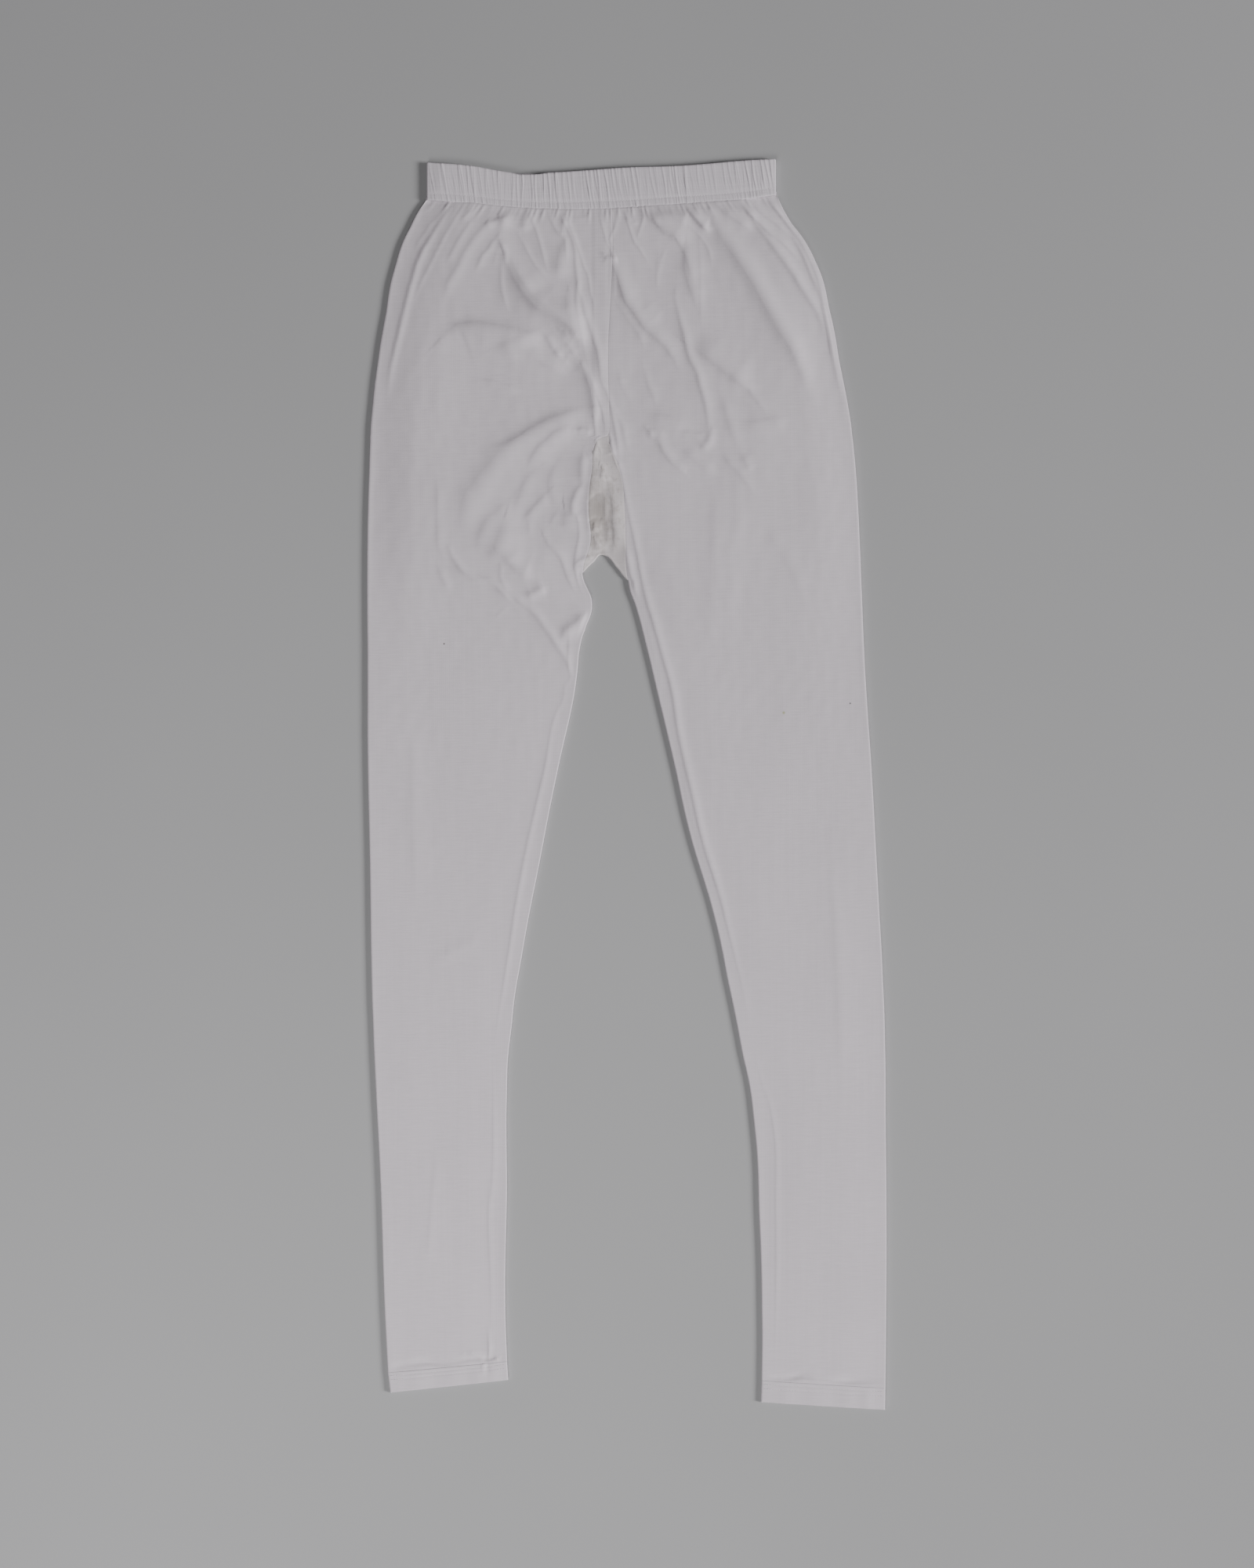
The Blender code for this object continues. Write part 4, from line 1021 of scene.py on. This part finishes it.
def make_gusset(material):
    """Front, folded lower edge and back of the gusset, between the inner edges of the two legs."""
    places = np.linspace(*GUSSET_STATIONS, GUSSET_ROWS)
    gap = np.array([2.0 * SEAM_HALF_GAP, 0.0])
    left = spline(RIGHT_LEG.stations, places)[:, 2:] + gap
    right = spline(LEFT_LEG.stations, places)[:, 2:] - gap
    across = np.linspace(0.0, 1.0, GUSSET_COLUMNS)
    edge = spline(CROTCH_EDGE, across * (len(CROTCH_EDGE) - 1.0))
    radius = LOFT / 2.0
    low = edge + np.array([0.0, radius])
    down = np.linspace(0.0, 1.0, GUSSET_ROWS)
    plan = left[:, None] + (right - left)[:, None] * across[None, :, None]
    plan = plan + (down**3)[:, None, None] * (low - plan[-1])[None]
    x, y = plan[..., 0], plan[..., 1]
    to_edge = np.hypot(x - edge[:, 0], np.maximum(y - edge[:, 1], 0.0))
    z = front_height(x, y, np.full(x.shape, NO_EDGE_NEAR), to_edge)
    side_gap = np.minimum(x - x[:, :1], x[:, -1:] - x)
    z = z - SEAM_DIP * np.exp(-((side_gap / SEAM_DIP_WIDTH) ** 2)) * fade(to_edge, GUSSET_SEAM_FADE)
    z[-1] = LOFT
    under_left = np.array([-SEAM_ALLOWANCE, 0.0, -SEAM_ALLOWANCE_DROP])
    under_right = np.array([SEAM_ALLOWANCE, 0.0, -SEAM_ALLOWANCE_DROP])
    rows = []
    for row in np.stack([x, y, z], axis=2):
        rows.append(np.concatenate([row[:1] + under_left, row, row[-1:] + under_right]))
    rim_and_back = []
    for angle in EDGE_ANGLES[::-1]:
        turn = math.radians(angle)
        edge_y = plan[-1, :, 1] - radius * math.cos(turn)
        level = np.full(GUSSET_COLUMNS, radius * (1.0 + math.sin(turn)))
        rim_and_back.append(np.column_stack([plan[-1, :, 0], edge_y, level]))
    for index in np.linspace(GUSSET_ROWS - 1, 0, GUSSET_BACK_ROWS).astype(int):
        rim_and_back.append(np.column_stack([plan[index], np.zeros(GUSSET_COLUMNS)]))
    rows.extend(np.concatenate([row[:1], row, row[-1:]]) for row in rim_and_back)
    return cloth_object("gusset_jersey", rows, material)


# The gusset's jersey, with painted shade darkening its crumples
gusset_knit = make_jersey("gusset knit", GUSSET_COLOUR, painted_shade=GUSSET_PAINTED_SHADE)
gusset_piece = make_gusset(gusset_knit)
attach(gusset_piece, "root")
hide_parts("gusset")

# The waistband: a casing of doubled jersey over a 25 mm elastic, which gathers it into many fine uneven
# ripples. The front's top edge sags a little left of the middle, and shows the inside of the back.
BAND_COLOUR = (0.795, 0.746, 0.8, 1.0)
BAND_WALL = 1.1
BAND_LOFT = 4.8
BAND_END_LOFT = 4.0
BAND_END_REACH = 12.0
# Ripples stand upright at one place along the band, and lean more the further they are from it
BAND_GATHERS = 230
BAND_GATHER_RISE = 0.21
BAND_GATHER_WIDTH = 0.52
BAND_GATHER_END_FADE = 4.0
BAND_STRAIGHT_X = -88.0
BAND_LEAN = 8.0
BAND_LEAN_RUN = 60.0
# The front's top edge is pushed up a little, and further where a ripple is high, so that it is notched
# between the ripples. Both fade out down the band
BAND_TOP_LIFT = 0.5
BAND_NOTCH_FROM = 0.5
BAND_NOTCH_SHARE = 0.35
BAND_NOTCH_DEPTH = 0.25
# The back lies on the floor, so its ripples are low and only their tops lift off it
BAND_BACK_SHARE = 0.3
BAND_BACK_PRESSED = 0.12
BAND_BACK_HIGHEST = 0.5
BAND_COLUMNS = 620
BAND_BACK_COLUMNS = 140
BAND_TOP_ROWS = (0.0, 0.015, 0.04)
BAND_ROWS_FROM = 0.07
BAND_ROWS = 26
# The row of stitches that closes the casing: how far down it is, half its groove, and how deep that is
BAND_SEWN = 0.805
BAND_GROOVE = 0.03
STITCH_SINK = 0.3
# The band's top edge, on its front layer and on its back layer
BandTop = namedtuple("BandTop", "x front back")
BAND_TOPS = (
    BandTop(-168.6, 523.6, 524.2),
    BandTop(-131.8, 520.9, 521.2),
    BandTop(-98.8, 515.3, 516.4),
    BandTop(-83.0, 513.5, 515.4),
    BandTop(-65.8, 515.0, 515.6),
    BandTop(-32.8, 517.1, 517.6),
    BandTop(0.2, 519.4, 519.6),
    BandTop(33.2, 520.4, 520.6),
    BandTop(66.2, 522.4, 522.6),
    BandTop(99.2, 525.2, 525.4),
    BandTop(125.6, 526.4, 526.9),
)
# How the band's front rises and falls from its top edge (0) to the seam (1)
BandForm = namedtuple("BandForm", "down loft gather")
BAND_FORMS = (
    BandForm(0.0, 0.8, 0.5),
    BandForm(0.012, 0.95, 0.8),
    BandForm(0.03, 0.99, 1.0),
    BandForm(0.07, 1.0, 1.0),
    BandForm(0.5, 1.03, 1.0),
    BandForm(0.72, 1.0, 0.85),
    BandForm(0.785, 0.94, 0.6),
    BandForm(0.805, 0.91, 0.5),
    BandForm(0.83, 0.94, 0.7),
    BandForm(0.93, 0.96, 1.15),
    BandForm(0.98, 0.95, 1.1),
    BandForm(1.0, 0.91, 0.9),
)


def band_gathers_at(x, down, turn=0.0):
    """Ripples of the waistband, each with its own place, width, height, lean and length."""
    left, right = BAND_TOPS[0].x, BAND_TOPS[-1].x
    height = np.zeros(np.shape(x))
    for index in range(BAND_GATHERS):
        middle = left + (right - left) * (index + 0.5 + 0.9 * uneven(index, 0.15 + turn)) / BAND_GATHERS
        lean = BAND_LEAN * min(abs(middle - BAND_STRAIGHT_X) / BAND_LEAN_RUN, 1.0)
        lean = lean * (0.75 + 0.35 * uneven(index, 0.55))
        away = x - middle - lean * (down - 0.5 + 0.25 * (down - 0.5) ** 2) - 0.4 * np.sin(down * 5.0 + index)
        flank = BAND_GATHER_WIDTH * (1.0 + 0.4 * uneven(index, 0.8 + turn))
        width = np.where(away < 0.0, 0.75 * flank, 1.5 * flank)
        calm = 0.78 + 0.22 * math.sin(middle / 7.3 + 1.9 * math.sin(middle / 31.0))
        rise = BAND_GATHER_RISE * (1.0 + 0.65 * uneven(index, turn)) * calm
        centre = 0.5 + 0.5 * uneven(index, 0.33)
        length = 0.65 + 0.35 * uneven(index, 0.9)
        along = np.exp(-(((down - centre) / length) ** 2))
        height += rise * along * np.exp(-((away / width) ** 2))
    return height


def band_tops_at(x):
    """Rows like BAND_TOPS for places across the band."""
    stations = [top.x for top in BAND_TOPS]
    return spline(BAND_TOPS, np.interp(x, stations, np.arange(len(BAND_TOPS))))


def band_front_height(x, down):
    """Height of the band's front, without its end folds."""
    places = [form.down for form in BAND_FORMS]
    loft = np.interp(down, places, [form.loft for form in BAND_FORMS])
    share = np.interp(down, places, [form.gather for form in BAND_FORMS])
    left, right = BAND_TOPS[0].x, BAND_TOPS[-1].x
    ends = fade(x - left, BAND_END_REACH) * fade(right - x, BAND_END_REACH)
    loft = BAND_END_LOFT + (BAND_LOFT * loft - BAND_END_LOFT) * ends
    calm = fade(np.minimum(x - left, right - x), BAND_GATHER_END_FADE)
    return loft + calm * share * band_gathers_at(x, down)


def make_waistband(material):
    """A ring of casing, row by row: the front, the fold at one end, the back, and the other fold."""
    radius = EDGE_ROUND * BAND_END_LOFT / 2.0
    left, right = BAND_TOPS[0].x, BAND_TOPS[-1].x
    front_x = np.linspace(left + radius, right - radius, BAND_COLUMNS)
    back_x = np.linspace(right - radius, left + radius, BAND_BACK_COLUMNS)
    front_tops, back_tops = band_tops_at(front_x), band_tops_at(back_x)
    front_seam, back_seam = waist_seam_at(front_x), waist_seam_at(back_x)
    sewn = BAND_SEWN + np.array([-1.0, -0.5, 0.0, 0.5, 1.0]) * BAND_GROOVE
    even = np.linspace(BAND_ROWS_FROM, 1.0, BAND_ROWS)
    turns = np.radians(EDGE_ANGLES)
    rows = []
    for down in np.sort(np.concatenate([BAND_TOP_ROWS, even, sewn])):
        y = front_tops[:, 1] + (front_seam - front_tops[:, 1]) * down
        notch = np.maximum(band_gathers_at(front_x, 0.0) - BAND_NOTCH_FROM, 0.0)
        notch = notch * (1.0 - fade(down, BAND_NOTCH_DEPTH))
        y = y + BAND_TOP_LIFT * (1.0 - fade(down, 0.5)) + BAND_NOTCH_SHARE * notch
        front = np.stack([front_x, y, band_front_height(front_x, np.full(len(front_x), down))], axis=1)
        folds = []
        for end, inward, top, seam in (
            (right, -1.0, front_tops[-1, 1], front_seam[-1]),
            (left, 1.0, front_tops[0, 1], front_seam[0]),
        ):
            fold_y = top + (seam - top) * down
            across = end + inward * radius * (1.0 - np.cos(turns))
            level = BAND_END_LOFT / 2.0 * (1.0 + np.sin(turns))
            folds.append(np.stack([across, np.full(len(turns), fold_y), level], axis=1))
        y = back_tops[:, 2] + (back_seam - back_tops[:, 2]) * down
        lift = BAND_BACK_SHARE * band_gathers_at(back_x, np.full(len(back_x), down), 0.5)
        lift = np.clip(lift - BAND_BACK_PRESSED, 0.0, BAND_BACK_HIGHEST)
        lift = lift + STITCH_SINK * np.exp(-(((down - BAND_SEWN) / BAND_GROOVE) ** 2))
        back = np.stack([back_x, y, lift], axis=1)
        rows.append(np.concatenate([front, folds[0][::-1], back, folds[1]]))
    return cloth_object("waistband_casing", rows, material, BAND_WALL, ring_from=0)


band_knit = make_jersey("waistband knit", BAND_COLOUR)
band_piece = make_waistband(band_knit)
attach(band_piece, "root")
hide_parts("waistband")

# The casing's stitches: one row of spun thread, a little paler than the jersey, that closes the casing
# on the front and on the back. Each is a short raised grain in the groove. The hems have the same kind.
STITCH_PITCH = 2.3
STITCH_LENGTH = 1.9
STITCH_WIDTH = 0.42
STITCH_HEIGHT = 0.3
# The stitches vary between these shares of their length
SHORTEST_STITCH = 0.85
LONGEST_STITCH = 1.1
STITCH_SEED = 7
# How high the stitches of the back lie in their groove, and how far the row stops from the band's ends
BACK_STITCH_LEVEL = 0.7 * STITCH_SINK
CASING_ROW_MARGIN = 3.0
THREAD_COLOUR = (0.84, 0.8, 0.83, 1.0)
THREAD_ROUGHNESS = 0.6
THREAD_GRAIN = (1400.0, 1400.0, 1400.0)


def make_stitch_tree():
    """Geometry nodes that lay short raised stitches, one pitch apart, along lines of edges."""
    tree = bpy.data.node_groups.new("stitches", "GeometryNodeTree")
    face = tree.interface
    face.new_socket("Lines", in_out="INPUT", socket_type="NodeSocketGeometry")
    for label in ("Pitch", "Length", "Width", "Height"):
        face.new_socket(label, in_out="INPUT", socket_type="NodeSocketFloat")
    face.new_socket("Seed", in_out="INPUT", socket_type="NodeSocketInt")
    face.new_socket("Thread", in_out="INPUT", socket_type="NodeSocketMaterial")
    face.new_socket("Stitches", in_out="OUTPUT", socket_type="NodeSocketGeometry")
    nodes, links = tree.nodes, tree.links
    given = nodes.new("NodeGroupInput").outputs
    line = nodes.new("GeometryNodeMeshToCurve")
    links.new(given["Lines"], line.inputs["Mesh"])
    even = nodes.new("GeometryNodeResampleCurve")
    even.mode = "LENGTH"
    links.new(line.outputs["Curve"], even.inputs["Curve"])
    links.new(given["Pitch"], even.inputs["Length"])
    grain = nodes.new("GeometryNodeMeshUVSphere")
    grain.inputs["Segments"].default_value = 6
    grain.inputs["Rings"].default_value = 4
    grain.inputs["Radius"].default_value = 0.5
    chance = nodes.new("FunctionNodeRandomValue")
    chance.inputs[2].default_value = SHORTEST_STITCH
    chance.inputs[3].default_value = LONGEST_STITCH
    links.new(given["Seed"], chance.inputs["Seed"])
    length = nodes.new("ShaderNodeMath")
    length.operation = "MULTIPLY"
    links.new(given["Length"], length.inputs[0])
    links.new(chance.outputs[1], length.inputs[1])
    size = nodes.new("ShaderNodeCombineXYZ")
    links.new(length.outputs["Value"], size.inputs["X"])
    links.new(given["Width"], size.inputs["Y"])
    links.new(given["Height"], size.inputs["Z"])
    tangent = nodes.new("GeometryNodeInputTangent")
    turn = nodes.new("FunctionNodeAlignRotationToVector")
    turn.axis = "X"
    links.new(tangent.outputs["Tangent"], turn.inputs["Vector"])
    copies = nodes.new("GeometryNodeInstanceOnPoints")
    links.new(even.outputs["Curve"], copies.inputs["Points"])
    links.new(grain.outputs["Mesh"], copies.inputs["Instance"])
    links.new(turn.outputs["Rotation"], copies.inputs["Rotation"])
    links.new(size.outputs["Vector"], copies.inputs["Scale"])
    solid = nodes.new("GeometryNodeRealizeInstances")
    links.new(copies.outputs["Instances"], solid.inputs["Geometry"])
    smooth = nodes.new("GeometryNodeSetShadeSmooth")
    links.new(solid.outputs["Geometry"], smooth.inputs["Geometry"])
    paint = nodes.new("GeometryNodeSetMaterial")
    links.new(smooth.outputs["Geometry"], paint.inputs["Geometry"])
    links.new(given["Thread"], paint.inputs["Material"])
    links.new(paint.outputs["Geometry"], nodes.new("NodeGroupOutput").inputs["Stitches"])
    return tree


def make_thread():
    """Spun thread, a little uneven in tone."""
    material, shader, nodes, links, place = new_material("sewing thread", THREAD_COLOUR, THREAD_ROUGHNESS)
    shader.inputs["Sheen Weight"].default_value = 0.2
    strands = add_noise(nodes, links, place, THREAD_GRAIN, 1.0)
    colour = tint(nodes, links, plain_colour(nodes, THREAD_COLOUR), strands, 0.93, 1.04)
    links.new(colour, shader.inputs["Base Color"])
    return material


def make_stitches(name, lines):
    """One piece with a stitch every pitch along each line of points, in millimetres."""
    points, edges = [], []
    for line in lines:
        first = len(points)
        points.extend(tuple(point * MM) for point in line)
        edges.extend((first + index, first + index + 1) for index in range(len(line) - 1))
    mesh = bpy.data.meshes.new(name)
    mesh.from_pydata(points, edges, [])
    piece = bpy.data.objects.new(name, mesh)
    bpy.context.scene.collection.objects.link(piece)
    sewing = piece.modifiers.new("sewing", "NODES")
    sewing.node_group = stitch_tree
    sockets = {item.name: item.identifier for item in stitch_tree.interface.items_tree}
    sewing[sockets["Pitch"]] = STITCH_PITCH * MM
    sewing[sockets["Length"]] = STITCH_LENGTH * MM
    sewing[sockets["Width"]] = STITCH_WIDTH * MM
    sewing[sockets["Height"]] = STITCH_HEIGHT * MM
    sewing[sockets["Seed"]] = STITCH_SEED
    sewing[sockets["Thread"]] = thread
    sewn = piece.evaluated_get(bpy.context.evaluated_depsgraph_get())
    finished = bpy.data.meshes.new_from_object(sewn)
    piece.modifiers.clear()
    piece.data = finished
    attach(piece, "root")
    return piece


thread = make_thread()
stitch_tree = make_stitch_tree()
sewn_x = np.arange(BAND_TOPS[0].x + CASING_ROW_MARGIN, BAND_TOPS[-1].x - CASING_ROW_MARGIN, 1.0)
sewn_tops, sewn_seam = band_tops_at(sewn_x), waist_seam_at(sewn_x)
casing_rows = []
for tops, level in (
    (sewn_tops[:, 1], band_front_height(sewn_x, np.full(len(sewn_x), BAND_SEWN))),
    (sewn_tops[:, 2], np.full(len(sewn_x), BACK_STITCH_LEVEL)),
):
    casing_rows.append(np.column_stack([sewn_x, tops + (sewn_seam - tops) * BAND_SEWN, level]))
casing_stitches = make_stitches("waistband_stitches", casing_rows)

# The two hems: the last 17 mm of each leg's jersey, turned up inside and caught down by a twin needle.
# Its two rows of stitches pull the cloth in, and the lower edge is a soft fold.
HEM_WALL = 1.2
HEM_LOFT = 3.3
HEM_WAVE = 0.12
# The dip where the hem meets the leg, and how far down it goes
HEM_TOP_DIP = 0.15
HEM_TOP_DIP_REACH = 0.05
# The twin needle's two rows: how far down the hem they are, half the width of their grooves, and the
# share of the hem's width that they leave free at each end
HEM_SEWN = (0.16, 0.36)
HEM_GROOVE = 0.04
HEM_ROW_MARGIN = 0.03
# How far down the fold at the lower edge begins, and the mesh's rows from there on
HEM_TURN = 0.96
HEM_TURN_ROWS = (0.975, 0.985, 0.993, 1.0)
HEM_ROWS = 36
HEM_COLUMNS = 110
HEM_BACK_COLUMNS = 40
# The share of the hem's width over which its front comes down to the folds at its ends
HEM_END_SHARE = 0.18
Hem = namedtuple("Hem", "name leg top bottom")
HEMS = (
    Hem(
        name="hem_right",
        leg=RIGHT_LEG,
        top=Station(-201.3, -495.3, -101.0, -485.8),
        bottom=Station(-199.4, -512.2, -100.0, -501.6),
    ),
    Hem(
        name="hem_left",
        leg=LEFT_LEG,
        top=Station(218.0, -508.3, 113.8, -502.0),
        bottom=Station(217.7, -526.9, 113.3, -520.3),
    ),
)
# The pinch near the inner end of the right leg's hem: a ridge with a trough beside it
PINCH_X = -121.0
PINCH_WIDTH = 2.2
PINCH_RISE = 0.5
PINCH_TROUGH_AT = 1.6
PINCH_REACH = 0.8


def hem_grooves(down):
    """How deep the two rows of stitches pull the cloth in."""
    return STITCH_SINK * sum(np.exp(-(((down - row) / HEM_GROOVE) ** 2)) for row in HEM_SEWN)


def hem_height(hem, x, down):
    """The hem's front: rounded at its lower edge, pulled in along the stitches, a little wavy."""
    round_off = np.sqrt(np.clip(1.0 - (np.maximum(down - HEM_TURN, 0.0) / (1.0 - HEM_TURN)) ** 2, 0.0, 1.0))
    height = HEM_LOFT * (0.5 + 0.5 * round_off)
    height = height + HEM_WAVE * np.sin(x / 3.1 + 2.0 * np.sin(x / 17.0)) * fade(down, 0.3)
    height = height - HEM_TOP_DIP * np.exp(-((down / HEM_TOP_DIP_REACH) ** 2)) - hem_grooves(down)
    if hem.name == "hem_right":
        beside = (x - PINCH_X) / PINCH_WIDTH
        pinch = np.exp(-(beside**2)) - np.exp(-((beside - PINCH_TROUGH_AT) ** 2))
        height = height + PINCH_RISE * (1.0 - fade(down, PINCH_REACH)) * pinch
    return height


def make_hem(hem, material):
    """A ring of turned cloth, row by row: the back, the fold at one end, the front, and the other fold."""
    radius = EDGE_ROUND * LOFT / 2.0
    across = np.linspace(0.0, 1.0, HEM_COLUMNS)
    ends = fade(across, HEM_END_SHARE) * fade(across[::-1], HEM_END_SHARE)
    rows = []
    for down in np.concatenate([np.linspace(0.0, HEM_TURN, HEM_ROWS), HEM_TURN_ROWS]):
        station = np.array(hem.top) * (1.0 - down) + np.array(hem.bottom) * down
        outer, inner = station[:2], station[2:]
        inward = (inner - outer) / np.hypot(*(inner - outer))
        start, end = outer + inward * radius, inner - inward * radius
        front = start + (end - start) * across[:, None]
        back = start + (end - start) * np.linspace(1.0, 0.0, HEM_BACK_COLUMNS)[:, None]
        level = hem_height(hem, front[:, 0], down)
        turn = max(down - HEM_TURN, 0.0) / (1.0 - HEM_TURN)
        edge_height = LOFT * (0.5 + 0.5 * math.sqrt(max(1.0 - turn**2, 0.0)))
        level = edge_height + (level - edge_height) * ends
        rows.append(np.concatenate([
            np.column_stack([back, np.full(HEM_BACK_COLUMNS, hem_grooves(down))]),
            edge_points(*outer, *inward, edge_height),
            np.column_stack([front, level]),
            edge_points(*inner, *-inward, edge_height)[::-1],
        ]))
    name = hem.name + "_turned"
    return cloth_object(name, rows, material, HEM_WALL, ring_from=0, flip=hem.leg.outward > 0)


def hem_rows(hem):
    """Lines of points along the hem's stitches, on its front and on its back."""
    lines = []
    for down in HEM_SEWN:
        station = np.array(hem.top) * (1.0 - down) + np.array(hem.bottom) * down
        places = np.linspace(HEM_ROW_MARGIN, 1.0 - HEM_ROW_MARGIN, HEM_COLUMNS)[:, None]
        plan = station[:2] + (station[2:] - station[:2]) * places
        lines.append(np.column_stack([plan, hem_height(hem, plan[:, 0], down)]))
        lines.append(np.column_stack([plan, np.full(HEM_COLUMNS, BACK_STITCH_LEVEL)]))
    return lines


for hem in HEMS:
    piece = make_hem(hem, jersey)
    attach(piece, "root")
    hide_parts(hem.name)
    hem_stitches = make_stitches(hem.name + "_stitches", hem_rows(hem))
